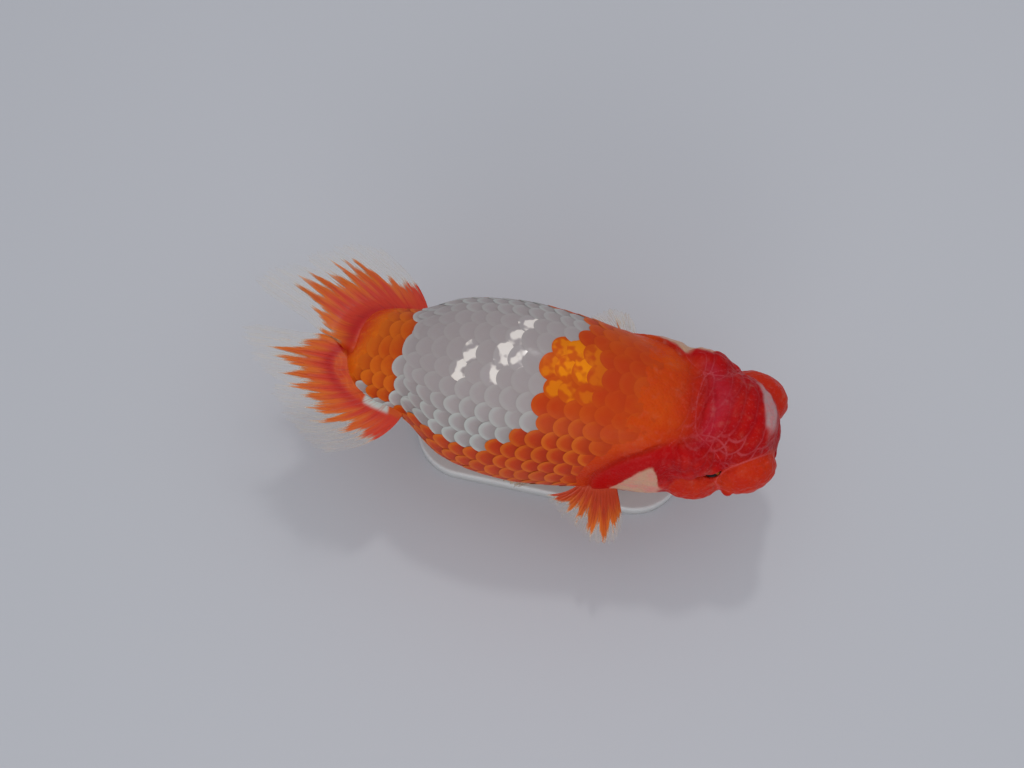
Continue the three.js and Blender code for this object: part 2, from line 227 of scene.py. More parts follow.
# Each growth: middle, half-lengths along, across and up, turn and tilt in degrees, and how
# softly it runs into the rest. The sides differ a little, as they do on a living fish.
NASAL_LEFT = ((8.7, 10.4, -0.5), (8.8, 6.6, 8.6), -14, 0, 1.0)
NASAL_RIGHT = ((8.8, 10.2, -0.5), (8.8, 6.4, 8.6), -24, 0, 1.0)
CHEEK = ((22.4, 12.2, -4.8), (9.2, 7.6, 9.4), 0, 0, 1.4)
GILL_COVER = ((35.5, 12.4, -2.0), (12.0, 8.2, 14.6), 4, 0, 2.6)
TEMPLE = ((24.2, 11.7, 6.6), (8.6, 6.2, 8.0), 3, 0, 1.6)
NAPE_PAD = ((36.0, 12.6, 8.8), (6.0, 4.4, 5.0), 12, 0, 1.6)
BROW = ((18.8, 12.3, 7.8), (5.2, 3.5, 2.0), -4, 0, 1.0)
NOSTRIL = ((12.0, 16.3, -2.2), (1.7, 1.6, 1.8), 0, 0, 0.6)
CROWN = ((17.0, 0.0, 7.4), (14.4, 12.8, 11.0), 0, -4, 1.6)
SNOUT = ((5.6, 0.0, 0.0), (4.8, 7.0, 6.0), 0, 0, 1.0)
EYE_OPENING = (2.4, 6.5, 1.8)  # half the sizes of the gap between the lids
LID_RADIUS = 2.95
LID_THICKNESS = 0.62
LID_PLACE = (0.8, 1.9, 0.2)  # behind, outside and above the eye's middle
LID_STRETCH = (1.0, 1.0, 0.8)


def growth_field(s, y, z, growth, side=1):
    """About how far a point is outside an ellipsoid growth."""
    middle, halves, turn, tilt, _ = growth
    turn, tilt = math.radians(turn * side), math.radians(tilt)
    x, y, z = middle[0] - s, y - middle[1] * side, z - middle[2]
    x, y = x * math.cos(turn) + y * math.sin(turn), y * math.cos(turn) - x * math.sin(turn)
    x, z = x * math.cos(tilt) - z * math.sin(tilt), x * math.sin(tilt) + z * math.cos(tilt)
    whole = np.sqrt((x / halves[0]) ** 2 + (y / halves[1]) ** 2 + (z / halves[2]) ** 2)
    slope = np.sqrt((x / halves[0] ** 2) ** 2 + (y / halves[1] ** 2) ** 2 + (z / halves[2] ** 2) ** 2)
    return whole * (whole - 1) / np.maximum(slope, 1e-6)


def ring_field(s, y, z, middle, radius, thickness, stretch, axis):
    """About how far a point is outside a stretched ring about one of the axes."""
    local = [(value - centre) / scale for value, centre, scale in zip((s, y, z), middle, stretch)]
    flat = [local[i] for i in range(3) if i != axis]
    out = np.sqrt(flat[0] ** 2 + flat[1] ** 2) - radius
    return np.sqrt(out**2 + local[axis] ** 2) - thickness


def by_eye(side, behind, outside, above):
    """A place told from the middle of one side's eye."""
    return EYE_PLACE[0] + behind, side * (EYE_PLACE[1] + outside), EYE_PLACE[2] + above


FURROW_WIDTH = 0.5


class Surface:
    """The skin's field, below 0 inside, which remembers where two growths meet in a furrow."""

    def __init__(self, s, y, z):
        self.place = s, y, z
        self.value = body_field(s, y, z)[0]
        self.furrow = np.zeros_like(self.value)

    def meet(self, other, softness):
        """1 where another surface meets this one, falling to 0 at the softness apart."""
        return np.maximum(1 - np.abs(self.value - other) / softness, 0)

    def join(self, other, softness):
        near = self.meet(other, softness)
        self.furrow = np.maximum(self.furrow, self.meet(other, FURROW_WIDTH))
        self.value = np.minimum(self.value, other) - near**2 * softness / 4

    def cut(self, other, softness):
        near = self.meet(-other, softness)
        self.value = np.maximum(self.value, -other) + near**2 * softness / 4

    def grow(self, side, *growths):
        """Joins growths on one side: 1 is the left, -1 the right."""
        for growth in growths:
            self.join(growth_field(*self.place, growth, side), growth[4])

    def hollow(self, middle, halves, softness):
        """Cuts out an ellipsoid."""
        self.cut(growth_field(*self.place, (middle, halves, 0, 0, softness)), softness)


def skin_surface(s, y, z):
    """The body with the head's growths joined to it, and the eyes and mouth hollowed out."""
    surface = Surface(s, y, z)
    surface.grow(1, GILL_COVER, CHEEK, TEMPLE, NAPE_PAD, NASAL_LEFT)
    surface.grow(-1, GILL_COVER, CHEEK, TEMPLE, NASAL_RIGHT)
    surface.grow(1, CROWN, SNOUT)
    for _, side in SIDES:
        lid = ring_field(s, y, z, by_eye(side, *LID_PLACE), LID_RADIUS, LID_THICKNESS, LID_STRETCH, 1)
        surface.join(lid, 1.0)
        surface.grow(side, BROW, NOSTRIL)
        surface.hollow(by_eye(side, 0, 0, 0), [EYE_RADIUS] * 3, 0.3)
        surface.hollow(by_eye(side, 1.0, EYE_OPENING[1], 0.3), EYE_OPENING, 0.6)
    surface.join(ring_field(s, y, z, MOUTH_PLACE, MOUTH_RADIUS, LIP_RADIUS, MOUTH_STRETCH, 0), 0.8)
    surface.hollow(MOUTH_PLACE, MOUTH_OPENING, 0.6)
    return surface


# ---- markings

# The rear edge of the hood and gill covers at an angle away from the back, and where the
# scales begin behind it.
hood_rear = profile([(0, 29), (37, 29.5), (49, 35), (56, 39), (66, 43), (76, 46.2), (84, 47.6),
                     (98, 47.4), (112, 45), (130, 39), (150, 33), (180, 30)])
scales_begin = profile([(0, 37), (25, 37), (37, 38), (49, 41.5), (60, 45.5), (76, 48.6), (90, 49.6),
                        (110, 49), (130, 45), (180, 40)])

# How far behind their beginning the scales stand fully clear of the skin.
scales_settle = profile([(0, 16), (38, 14), (58, 6), (180, 6)])

# The pearl saddle's front and rear edges at an angle around the body.
saddle_front = profile([(-118, 101), (-96, 97), (-76, 92), (-62, 86), (-58, 73), (-55, 60), (-46, 57.9),
                        (-26, 57.9), (-14, 61.9), (-8, 65.5), (12, 66.2), (22, 64.6), (33, 65),
                        (49, 69.5), (60, 72), (65, 78.6), (68, 89.6), (73, 98.5), (80, 105)])
saddle_rear = profile([(-118, 100), (-59, 101.2), (-9, 103.2), (18, 103.6), (52, 104.9), (80, 104)])

# The upper edges of the cream patches on the gill covers, by distance behind the snout.
cream_top_right = profile([(30, 0), (31.4, 6), (33.6, 8.8), (38, 3.6), (41, -4.6), (43.5, -11)])
cream_top_left = profile([(20, 7), (22.5, 12), (27, 12.8), (34, 12.4), (40, 9.5)])

# The tail's red base laps over the stalk up to this line, which runs aslant across its back.
tail_lap = profile([(-110, 104), (-60, 105), (-30, 109), (0, 111), (30, 114), (50, 115), (80, 116)])

# Small white patches at the stalk's end: distance, angle, half-length and half-height.
PEARL_SPOTS = ((113.4, 57, 2.0, 10), (108.4, 88, 3.6, 17))

# Soft patches on the back: middle and width along the fish, and then around it. The first marks the gold
# scales; the second marks the scales that get painted glints, pale patches standing for highlights, and a
# glossier coat.
GOLD_PATCH = ((59.5, 6.5), (3, 15))
GLINT_PATCH = ((75, 14), (2, 26))

# From where to where the cream patches run on each gill cover.
CREAM_RIGHT = (29.6, 44.5)
CREAM_LEFT = (20.5, 38.5)


def soft_patch(s, angle, along, around):
    return hump(s, *along) * hump(angle, *around)


def cream_share(s, y, z):
    """How cream the gill covers are, by patches whose shapes differ from side to side."""
    upper_edge = np.where(y < 0, cream_top_right(s), cream_top_left(s))
    wavy = 0.7 * np.sin(z * 0.9) + 0.5 * np.sin(s * 1.3 + z * 0.5)
    rounding = 0.035 * (z + 2) ** 2 + wavy
    right_end = np.minimum(s - CREAM_RIGHT[0] - 0.3 * rounding, CREAM_RIGHT[1] - rounding - s)
    left_start = CREAM_LEFT[0] + 0.6 * np.maximum(9 - z, 0) + 0.3 * wavy
    left_end = np.minimum(s - left_start, CREAM_LEFT[1] - 0.06 * (z - 8) ** 2 + wavy - s)
    cream = smoothstep(-1.8, 1.8, np.where(y < 0, right_end, left_end)) * smoothstep(-13, -7, z)
    return cream * smoothstep(10.5, 13, np.abs(y)) * smoothstep(1.2, -1.4, z - upper_edge)


def markings(s, y, z):
    """The skin's and the scales' colours as shares from 0 to 1, by place on the fish."""
    angle = angle_around(s, y, z)
    off_back = np.abs(angle)
    edge = np.minimum(s - saddle_front(angle), saddle_rear(angle) - s)
    pearl = smoothstep(-0.5, 0.5, edge)
    for place, around, length, height in PEARL_SPOTS:
        spot = ((s - place) / length) ** 2 + ((angle - around) / height) ** 2
        pearl = np.maximum(pearl, smoothstep(1.3, 0.8, spot))
    gold = soft_patch(s, angle, *GOLD_PATCH) * (1 - pearl)
    on_side = smoothstep(48, 64, off_back) * smoothstep(112, 92, off_back)
    behind_hood = s - hood_rear(off_back) + 12 * on_side * (y > 0)
    hood = smoothstep(9, -5, behind_hood + 3 * smoothstep(60, 30, off_back))
    band = smoothstep(-11, -4, behind_hood) * smoothstep(2, -2.5, behind_hood)
    band = band * smoothstep(34, 44, off_back) * smoothstep(125, 100, off_back)
    belly = smoothstep(126, 154, off_back) * smoothstep(16, 40, s)
    amber = smoothstep(99, 106, s)
    past_lap = s - tail_lap(angle)
    off_left_belly = smoothstep(-125, -105, angle)
    lap = smoothstep(-0.8, 0.8, past_lap) * off_left_belly
    flush = smoothstep(2, 6, past_lap) * off_left_belly
    return {"pearl": pearl, "gold": gold, "hood": hood, "band": band, "belly": belly,
            "cream": cream_share(s, y, z), "amber": amber, "lap": lap, "flush": flush}


# ---- meshes


def new_piece(name, places, faces, replaced=()):
    """A smooth mesh from places in metres, which rides on the body and stands for CAD nodes."""
    mesh = bpy.data.meshes.new(name)
    mesh.from_pydata(places, [], faces, shade_flat=False)
    mesh.validate()
    piece = bpy.data.objects.new(name, mesh)
    bpy.context.scene.collection.objects.link(piece)
    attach(piece, "root")
    if replaced:
        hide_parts(*replaced)
    return piece


def add_shares(piece, shares):
    """Stores one number per vertex under each name, for the materials to read."""
    for name, values in shares.items():
        attribute = piece.data.attributes.new(name, "FLOAT", "POINT")
        attribute.data.foreach_set("value", np.asarray(values, np.float32).ravel())


def grid_faces(rows, columns):
    """The quads of a grid of vertices that are numbered row by row."""
    n = np.arange(rows * columns).reshape(rows, columns)
    return np.stack([n[:-1, :-1], n[:-1, 1:], n[1:, 1:], n[1:, :-1]], -1).reshape(-1, 4)


def lathe_faces(rings, spokes):
    """The quads of rings of vertices whose last spoke meets the first."""
    quads = grid_faces(rings, spokes + 1)
    return quads // (spokes + 1) * spokes + quads % (spokes + 1) % spokes


def sheet_faces(rows, columns):
    """The quads of a closed thin sheet: a top grid, a bottom grid after it and the rim between."""
    count = rows * columns
    top = grid_faces(rows, columns)
    n = np.arange(count).reshape(rows, columns)
    rim = np.concatenate([n[0, :-1], n[:-1, -1], n[-1, :0:-1], n[:0:-1, 0]])
    after = np.roll(rim, -1)
    edge = np.stack([after, rim, rim + count, after + count], -1)
    return np.concatenate([top, (top + count)[:, ::-1], edge])


def surface_net(field, axes):
    """The vertices and quads of the surface where a field on a grid changes sign."""
    inside = field < 0
    cells = np.array(field.shape) - 1
    corners = list(itertools.product((0, 1), repeat=3))
    count = np.zeros(cells, np.int8)
    for i, j, k in corners:
        count += inside[i : i + cells[0], j : j + cells[1], k : k + cells[2]]
    mixed = (count > 0) & (count < 8)
    number = np.full(mixed.shape, -1)
    number[mixed] = np.arange(mixed.sum())
    cell = np.argwhere(mixed)
    total = np.zeros((len(cell), 3))
    crossings = np.zeros(len(cell))
    quads = []
    for axis in range(3):
        step = np.eye(3, dtype=int)[axis]
        for corner in (np.array(c) for c in corners if c[axis] == 0):
            start, end = cell + corner, cell + corner + step
            first, last = field[tuple(start.T)], field[tuple(end.T)]
            crosses = (first < 0) != (last < 0)
            share = np.where(crosses, first / np.where(crosses, first - last, 1), 0)
            place = np.stack([line[index] for line, index in zip(axes, start.T)], -1)
            place[:, axis] += share * (axes[axis][end[:, axis]] - axes[axis][start[:, axis]])
            total += place * crosses[:, None]
            crossings += crosses
        across, up = np.eye(3, dtype=int)[(axis + 1) % 3], np.eye(3, dtype=int)[(axis + 2) % 3]
        edges = np.argwhere(np.diff(inside, axis=axis))
        edges = edges[(edges @ across > 0) & (edges @ up > 0)]
        ring = [edges, edges - across, edges - across - up, edges - up]
        quad = np.stack([number[tuple(place.T)] for place in ring], -1)
        outwards = inside[tuple(edges.T)]
        quads.append(np.where(outwards[:, None], quad, quad[:, ::-1]))
    return total / crossings[:, None], np.concatenate(quads)


def skin_slope(points):
    """The skin's surface at points, and how its field changes along each axis."""
    step = 0.05
    slope = np.zeros_like(points)
    for axis, nudge in enumerate(np.eye(3) * step):
        ahead, behind = skin_surface(*(points + nudge).T), skin_surface(*(points - nudge).T)
        slope[:, axis] = (ahead.value - behind.value) / (2 * step)
    return skin_surface(*points.T), slope


def relaxed(points, quads):
    """Each point moved half-way to the middle of its neighbours."""
    edges = np.concatenate([quads[:, [i, (i + 1) % 4]] for i in range(4)])
    start, end = np.concatenate([edges, edges[:, ::-1]]).T
    total = [np.bincount(start, values[end]) for values in points.T]
    return (points + np.stack(total, -1) / np.bincount(start)[:, None]) / 2


# ---- materials


class Value:
    """A node's output that arithmetic works on: each operation adds its Math node."""

    def __init__(self, finish, socket):
        self.finish = finish
        self.socket = socket

    def maths(self, operation, *operands):
        return self.finish.node("ShaderNodeMath", {"operation": operation}, dict(enumerate(operands)))

    def __add__(self, other):
        return self.maths("ADD", self, other)

    def __sub__(self, other):
        return self.maths("SUBTRACT", self, other)

    def __rsub__(self, other):
        return self.maths("SUBTRACT", other, self)

    def __mul__(self, other):
        return self.maths("MULTIPLY", self, other)

    def sine(self):
        return self.maths("SINE", self)

    def largest(self, other):
        return self.maths("MAXIMUM", self, other)

    __radd__ = __add__
    __rmul__ = __mul__

    def ramp(self, low, high, start=0.0, end=1.0):
        """Rises smoothly from start at low to end at high."""
        settings = {"interpolation_type": "SMOOTHSTEP"}
        inputs = {"Value": self, "From Min": low, "From Max": high, "To Min": start, "To Max": end}
        return self.finish.node("ShaderNodeMapRange", settings, inputs)


class Finish:
    """A material under the making: its nodes, and the shader that they feed."""

    def __init__(self, name, constants):
        self.material = bpy.data.materials.new(name)
        self.material.use_nodes = True
        self.tree = self.material.node_tree
        self.shader = self.tree.nodes["Principled BSDF"]
        for socket, value in constants.items():
            self.shader.inputs[socket].default_value = value

    def node(self, kind, settings=None, inputs=None, output=0):
        made = self.tree.nodes.new(kind)
        for name, value in (settings or {}).items():
            setattr(made, name, value)
        for name, value in (inputs or {}).items():
            self.feed(made.inputs[name], value)
        return Value(self, made.outputs[output])

    def feed(self, socket, value):
        if isinstance(value, Value):
            self.tree.links.new(value.socket, socket)
        elif socket.type == "RGBA" and len(value) == 3:
            socket.default_value = (*value, 1)
        else:
            socket.default_value = value

    def share(self, name):
        return self.node("ShaderNodeAttribute", {"attribute_name": name}, output="Fac")

    def layers(self, colour, *coats):
        """A colour with others laid over it in turn, each by its own share: none at 0, all at 1."""
        for share, coat in coats:
            inputs = {"Factor": share, 6: colour, 7: coat}
            colour = self.node("ShaderNodeMix", {"data_type": "RGBA"}, inputs, output=2)
        return colour

    def place(self):
        return self.node("ShaderNodeTexCoord", output="Object")

    def grain(self, size, detail=3.0, stretch=(1, 1, 1)):
        """Soft noise whose lumps are about that many millimetres across."""
        scaled = self.node("ShaderNodeMapping", None, {"Vector": self.place(), "Scale": stretch})
        inputs = {"Vector": scaled, "Scale": 1 / (size * MM), "Detail": detail}
        return self.node("ShaderNodeTexNoise", None, inputs)

    def pimples(self, size):
        """Rounded cells of about that many millimetres: 0 in their middles, larger between them."""
        inputs = {"Vector": self.place(), "Scale": 1 / (size * MM), "Smoothness": 0.6}
        return self.node("ShaderNodeTexVoronoi", {"feature": "SMOOTH_F1"}, inputs)

    def bump(self, height, depth, strength):
        """Relief of a depth in millimetres for heights from 0 to 1."""
        inputs = {"Strength": strength, "Distance": depth * MM, "Height": height}
        return self.node("ShaderNodeBump", None, inputs)

    def set(self, **sockets):
        for socket, value in sockets.items():
            self.feed(self.shader.inputs[socket.replace("_", " ").title()], value)

    def onto(self, piece):
        piece.data.materials.append(self.material)


def tint(red, green, blue):
    """A display colour of 0..255 as Blender's linear one."""
    parts = [value / 255 for value in (red, green, blue)]
    return tuple(p / 12.92 if p < 0.04045 else ((p + 0.055) / 1.055) ** 2.4 for p in parts)


def length_property(name, description, size, least):
    """A length whose default and least value are given in millimetres."""
    return FloatProperty(
        name=name, description=description, default=size * MM, min=least * MM, unit="LENGTH"
    )


def colour_property(name, description, red, green, blue):
    return FloatVectorProperty(
        name=name, description=description, subtype="COLOR", size=3, min=0, max=1,
        default=tint(red, green, blue),
    )


# ---- properties


class GoldfishShape(bpy.types.PropertyGroup):
    """How finely and how strongly the fish's surfaces are modelled."""

    skin_cell: length_property("Skin cell", "Size of the skin's mesh over the head", 0.42, 0.2)
    body_cell: length_property("Body cell", "Length of the skin's mesh under the scales", 0.9, 0.3)
    coat_depth: length_property("Coat depth", "How far the skin lies below the scales", 0.6, 0.1)
    lobule_height: length_property("Lobule height", "Height of the hood's soft lobules", 0.5, 0)
    pimple_height: length_property("Growth bumps", "Height of the hood's small round bumps", 0.24, 0)
    scale_rows: IntProperty(
        name="Scale rows", description="Rows of scales round the trunk", default=30, min=12,
    )
    scale_pitch: length_property("Scale pitch", "Distance from one scale to the next along a row", 4.1, 1)
    stalk_rows: IntProperty(
        name="Stalk rows", description="Rows of scales round the tail stalk", default=18, min=8,
    )
    scale_thickness: length_property("Scale thickness", "Thickness of a scale at its free edge", 0.08, 0.02)
    fin_rays: IntProperty(
        name="Tail rays", description="Rays in each side of the tail", default=22, min=6,
    )


class GoldfishColours(bpy.types.PropertyGroup):
    """The colours of the skin, scales, fins and eyes."""

    hood: colour_property("Hood", "Deep red of the crown", 180, 7, 9)
    # Painted shade: this darker red is laid in the valleys between the hood's lobules.
    painted_valley_shade: colour_property("Valleys", "Dark red between the hood's lobules", 150, 2, 14)
    growth: colour_property("Growths", "Orange-red of the lobes beside the snout", 194, 38, 14)
    furrow: colour_property("Furrows", "Pink of the folds between the growths", 222, 112, 120)
    # Painted sheen: this lilac-pink is laid in a band across the crown as a sheen of light on its folds.
    painted_sheen: colour_property("Bloom", "Lilac-pink bloom across the crown", 184, 34, 52)
    orange: colour_property("Orange", "Orange-red of the body", 200, 56, 8)
    rim: colour_property("Orange rims", "Free edges of the orange scales", 226, 112, 22)
    # Painted shade: the scales are darkened towards this colour at their roots, behind the free edge of the
    # scale over them; it also darkens some scales at random.
    deep: colour_property("Orange depths", "Roots of the orange scales", 160, 34, 10)
    gold: colour_property("Gold", "Golden scales in front of the saddle", 244, 138, 2)
    pearl: colour_property("Pearl", "White scales of the saddle", 174, 161, 158)
    # Painted shade at the white scales' roots, and some darker tone at random.
    pearl_shade: colour_property("Pearl depths", "Roots of the white scales", 140, 131, 127)
    pearl_rim: colour_property("Pearl rims", "Free edges of the white scales", 198, 202, 193)
    # Painted highlight: patches of this colour on the brightest pearl scales stand for glints of reflected
    # light.
    glint: colour_property("Glint", "Silvery patches of the brightest scales", 252, 240, 228)
    cream: colour_property("Cream", "Pale gill covers and belly", 196, 154, 126)
    fin: colour_property("Fins", "Red of the fins", 206, 56, 30)
    pectoral: colour_property("Paired fins", "Orange-red of the paired fins", 196, 62, 16)
    fin_tip: colour_property("Fin tips", "Orange ends of the fins' colour", 216, 104, 16)
    membrane: colour_property("Membrane", "Clear edge of the fins", 220, 200, 164)
    iris: colour_property("Iris", "Golden ring round the pupil", 196, 112, 34)


class GoldfishStand(bpy.types.PropertyGroup):
    """The display stand's finish."""

    edge_round: length_property("Edge rounding", "Radius of the base's top edge", 0.9, 0.1)
    paint: colour_property("Paint", "The base's paint", 205, 205, 203)
    steel: colour_property("Steel", "The rods' brushed steel", 190, 192, 196)


class GoldfishStudio(bpy.types.PropertyGroup):
    """The floor, lights and camera."""

    azimuth: FloatProperty(
        name="Azimuth", description="Camera's direction round the fish",
        default=math.radians(12.28), subtype="ANGLE",
    )
    elevation: FloatProperty(
        name="Elevation", description="Camera's height above the horizon",
        default=math.radians(70), subtype="ANGLE",
    )
    distance: FloatProperty(
        name="Distance", description="From the camera to the fish's middle",
        default=0.386, min=0.05, unit="LENGTH",
    )
    floor: colour_property("Floor", "The plain floor", 200, 201, 204)
    key_power: FloatProperty(name="Key light", description="Power of the large soft light", default=1.55)
    fill_power: FloatProperty(name="Fill light", description="Power of the front fill", default=1.1)
    glint_power: FloatProperty(name="Glint light", description="Power of the small light", default=0.3)


# ---- skin


LOBULE_PITCH = 3.3
LOBULE_ROWS = np.arange(1.0, 34, LOBULE_PITCH)
LOBULE_COLUMNS = np.arange(-26, 27, 5.2)
GIRTH_PER_DEGREE = -0.26  # about how many millimetres to the left each degree round the head goes
SWELL_SIZE = 5.5
PEBBLE_SIZE = 1.7
SWELL_HEIGHT = 0.3
COVER_PROUD = 0.55  # how far a gill cover stands out at its rear edge
SLIT_DEPTH = 0.45
FINE_END = HEAD_END + 4  # where the skin's fine mesh ends
GROWTHS_END = HEAD_END + 6  # behind here the skin is the body's plain curve
SKIN_EXTENT = ((-25, 25), (-31, 26))  # the least and most of y and of z that the skin may reach
RELAXING_ROUNDS = 3


def lobules(s, across, rng):
    """Soft lobules in rows across the hood, each over the one in front: height and fine front rims."""
    height, rim = np.zeros_like(s), np.zeros_like(s)
    for row in LOBULE_ROWS:
        for column in LOBULE_COLUMNS:
            middle_fold = hump(column, 0, 9)
            aside = column + rng.uniform(-1.8, 1.8)
            middle = row + 5.0 * (aside / 12) ** 2 * smoothstep(16, 10, abs(aside)) + rng.uniform(-0.9, 0.9)
            length = LOBULE_PITCH * rng.uniform(1.0, 1.5)
            breadth = (3.0 + 3.4 * middle_fold) * rng.uniform(0.85, 1.25)
            reach = np.hypot((s - middle) / length, (across - aside) / breadth)
            covered = smoothstep(1.06, 0.94, reach)
            dome = 0.35 + 0.65 * np.sqrt(np.maximum(1 - reach**2, 0))
            height = height * (0.6 + 0.4 * smoothstep(1, 1.3, reach)) * (1 - covered) + dome * covered
            past_rim = (reach - 1) * length
            rim = np.maximum(rim * (1 - smoothstep(0.4, -0.5, past_rim)), hump(past_rim, 0, 0.6))
    return height, rim


def nasal_field(s, y, z):
    return np.minimum(growth_field(s, y, z, NASAL_LEFT), growth_field(s, y, z, NASAL_RIGHT, -1))


def hood_relief(points, shape):
    """How far the skin stands out from its plain form in millimetres, and what colours its lobules."""
    s, y, z = points.T
    angle = angle_around(s, y, z)
    off_back, off_middle = np.abs(angle), np.abs(y)
    folds, rim = lobules(s, GIRTH_PER_DEGREE * angle, np.random.default_rng(SEEDS["lobules"]))
    swell = np.array([noise.noise(Vector(p) / SWELL_SIZE) for p in points])
    pebble = np.array([noise.noise(Vector(p) / PEBBLE_SIZE) for p in points])
    nasal = smoothstep(1.5, 0.2, nasal_field(s, y, z))
    where = smoothstep(38, 27, s) * smoothstep(-12, -2, z) * smoothstep(1.5, 5, s) * (1 - 0.85 * nasal)
    relief = shape.lobule_height / MM * (folds - 0.6) * where
    relief += shape.pimple_height / MM * pebble * smoothstep(50, 34, s)
    relief += SWELL_HEIGHT * swell * smoothstep(66, 40, s) * (1 - 0.6 * nasal)
    past_edge = s - hood_rear(off_back)
    on_flank = smoothstep(34, 46, off_back) * smoothstep(160, 140, off_back)
    plate = smoothstep(-16, -2, past_edge) * smoothstep(0.5, -0.3, past_edge)
    relief += on_flank * (COVER_PROUD * plate - SLIT_DEPTH * hump(past_edge, 0.8, 0.6))
    strength = 0.22 + 0.6 * hump(off_middle, 9.5, 3) + 0.3 * smoothstep(10, 4, s)
    web = where * strength * (1 - 0.5 * smoothstep(12, 16, off_middle)) * smoothstep(30, 25, s)
    # The lobules' heights also set where the skin's finish paints shade in the valleys between them.
    return relief, {"rim": rim, "web": web, "fold": folds * where}


def inset(s, off_back, lap, depth):
    """How far the skin lies below the body's curve: the coat's depth wherever there are scales."""
    return depth * smoothstep(-1, scales_settle(off_back), s - scales_begin(off_back)) * (1 - lap)


def skin_mesh(shape):
    """Points and quads of the whole skin, with what colours its furrows and lobules."""
    cell, body_cell = shape.skin_cell / MM, shape.body_cell / MM
    along = [np.arange(-2, FINE_END, cell), np.arange(FINE_END, BODY_REAR + 2, body_cell)]
    axes = (np.concatenate(along), *(np.arange(low, high, cell) for low, high in SKIN_EXTENT))
    s, y, z = np.meshgrid(*axes, indexing="ij", sparse=True)
    head = s[:, 0, 0] < GROWTHS_END
    field = body_field(s, y, z)[0]
    field[head] = skin_surface(s[head], y, z).value
    points, quads = surface_net(field, axes)
    for _ in range(RELAXING_ROUNDS):
        points = relaxed(points, quads)
        surface, slope = skin_slope(points)
        points = points - slope * (surface.value / np.maximum((slope**2).sum(1), 1e-6))[:, None]
    surface, slope = skin_slope(points)
    normals = slope / np.linalg.norm(slope, axis=1, keepdims=True)
    off_back = np.abs(angle_around(*points.T))
    sunk = inset(points[:, 0], off_back, markings(*points.T)["lap"], shape.coat_depth / MM)
    relief, shares = hood_relief(points, shape)
    shares["furrow"] = surface.furrow
    return points + normals * (relief - sunk)[:, None], quads, shares


ARC_SPACING = 21  # degrees between the rows of scales under the tail's skin
ARC_PITCH = 3.3


def scale_arcs(s, angle):
    """The free edges of scales that lie under the skin over the tail's root, from 0 to 1."""
    row = np.round(angle / ARC_SPACING)
    along = s / ARC_PITCH + 0.5 * (row % 2)
    reach = np.hypot(along - np.round(along), 1.05 * (angle / ARC_SPACING - row))
    return hump(reach, 0.44, 0.07) * (along > np.round(along) - 0.35) * (along < np.round(along) + 0.15)


def skin_shares(points, hood_shares):
    """What the skin's finish reads: the markings and the head's own colours."""
    s, y, z = points.T
    off_middle = np.abs(y)
    shares = {**hood_shares, **markings(s, y, z)}
    behind_crown = smoothstep(24, 28, s) * smoothstep(11, 8, off_middle)
    near_crown = np.maximum(smoothstep(15, 12.5, off_middle), smoothstep(19, 15, s))
    at_snout = smoothstep(9, 6, s) * smoothstep(7, 4, off_middle)
    shares["furrow"] *= smoothstep(37, 29, s) * (1 - behind_crown) * near_crown * (1 - at_snout)
    nasal = nasal_field(s, y, z)
    cheek = np.minimum(*(growth_field(s, y, z, CHEEK, side) for _, side in SIDES))
    growth = np.maximum(smoothstep(1.6, 0.2, nasal), 0.8 * smoothstep(1.4, 0.2, cheek))
    shares["growth"] = np.maximum(growth, smoothstep(-6, -12, z) * smoothstep(40, 30, s))
    on_crown = smoothstep(12.6, 10.6, off_middle) * smoothstep(4, 8, z) * smoothstep(33, 27, s)
    # A lilac-pink sheen painted in a band across the crown.
    shares["bloom"] = hump(s - 5 * (off_middle / 12) ** 2, 19, 3) * on_crown
    (middle, _, _), (length, breadth, _), *_ = CROWN
    past_front = s - middle + length * np.sqrt(np.maximum(1 - (y / breadth) ** 2, 0))
    along_rim = ((y - 3.0) / 6.6) ** 2
    across_rim = ((past_front - 2.9 + 0.9 * along_rim) / 2.0) ** 2
    ragged = 0.12 * np.sin(y * 1.3) + 0.08 * np.sin(past_front * 2 + y)
    shares["arcs"] = scale_arcs(s, angle_around(s, y, z)) * shares["lap"]
    shares["crescent"] = smoothstep(1.8, 0.1, along_rim + across_rim + ragged) * smoothstep(5, 8, z)
    return shares


class GOLDFISH_OT_skin(bpy.types.Operator):
    """Builds the one skin that covers the head, trunk and tail stalk"""

    bl_idname = "goldfish.skin"
    bl_label = "Skin"

    def execute(self, context):
        shape, colours = context.scene.goldfish_shape, context.scene.goldfish_colours
        points, quads, hood_shares = skin_mesh(shape)
        flesh = ["head", "crown", "snout", "lips", "trunk", "tail_stalk"]
        for part in ("nasal_lobe", "cheek_lobe", "temple_lobe", "gill_cover"):
            flesh += [f"{part}_{name}" for name, _ in SIDES]
        skin = new_piece("skin", in_frame(points), quads, flesh)
        add_shares(skin, skin_shares(points, hood_shares))
        skin_finish(colours).onto(skin)
        return {"FINISHED"}


def body_colour(finish, colours):
    """The colour that the skin and the scales share, from the markings."""
    mottle = finish.grain(9)
    return finish.layers(
        colours.orange,
        (mottle.ramp(0.3, 0.75, 0.04, 0.26), colours.rim),
        (finish.share("amber") * mottle.ramp(0.2, 0.7, 0.3, 0.7), colours.rim),
        (finish.share("gold") * 0.25, colours.gold),
        (finish.share("belly"), colours.cream),
        (finish.share("flush") * 0.85, colours.fin),
        (finish.share("pearl"), colours.pearl),
    )


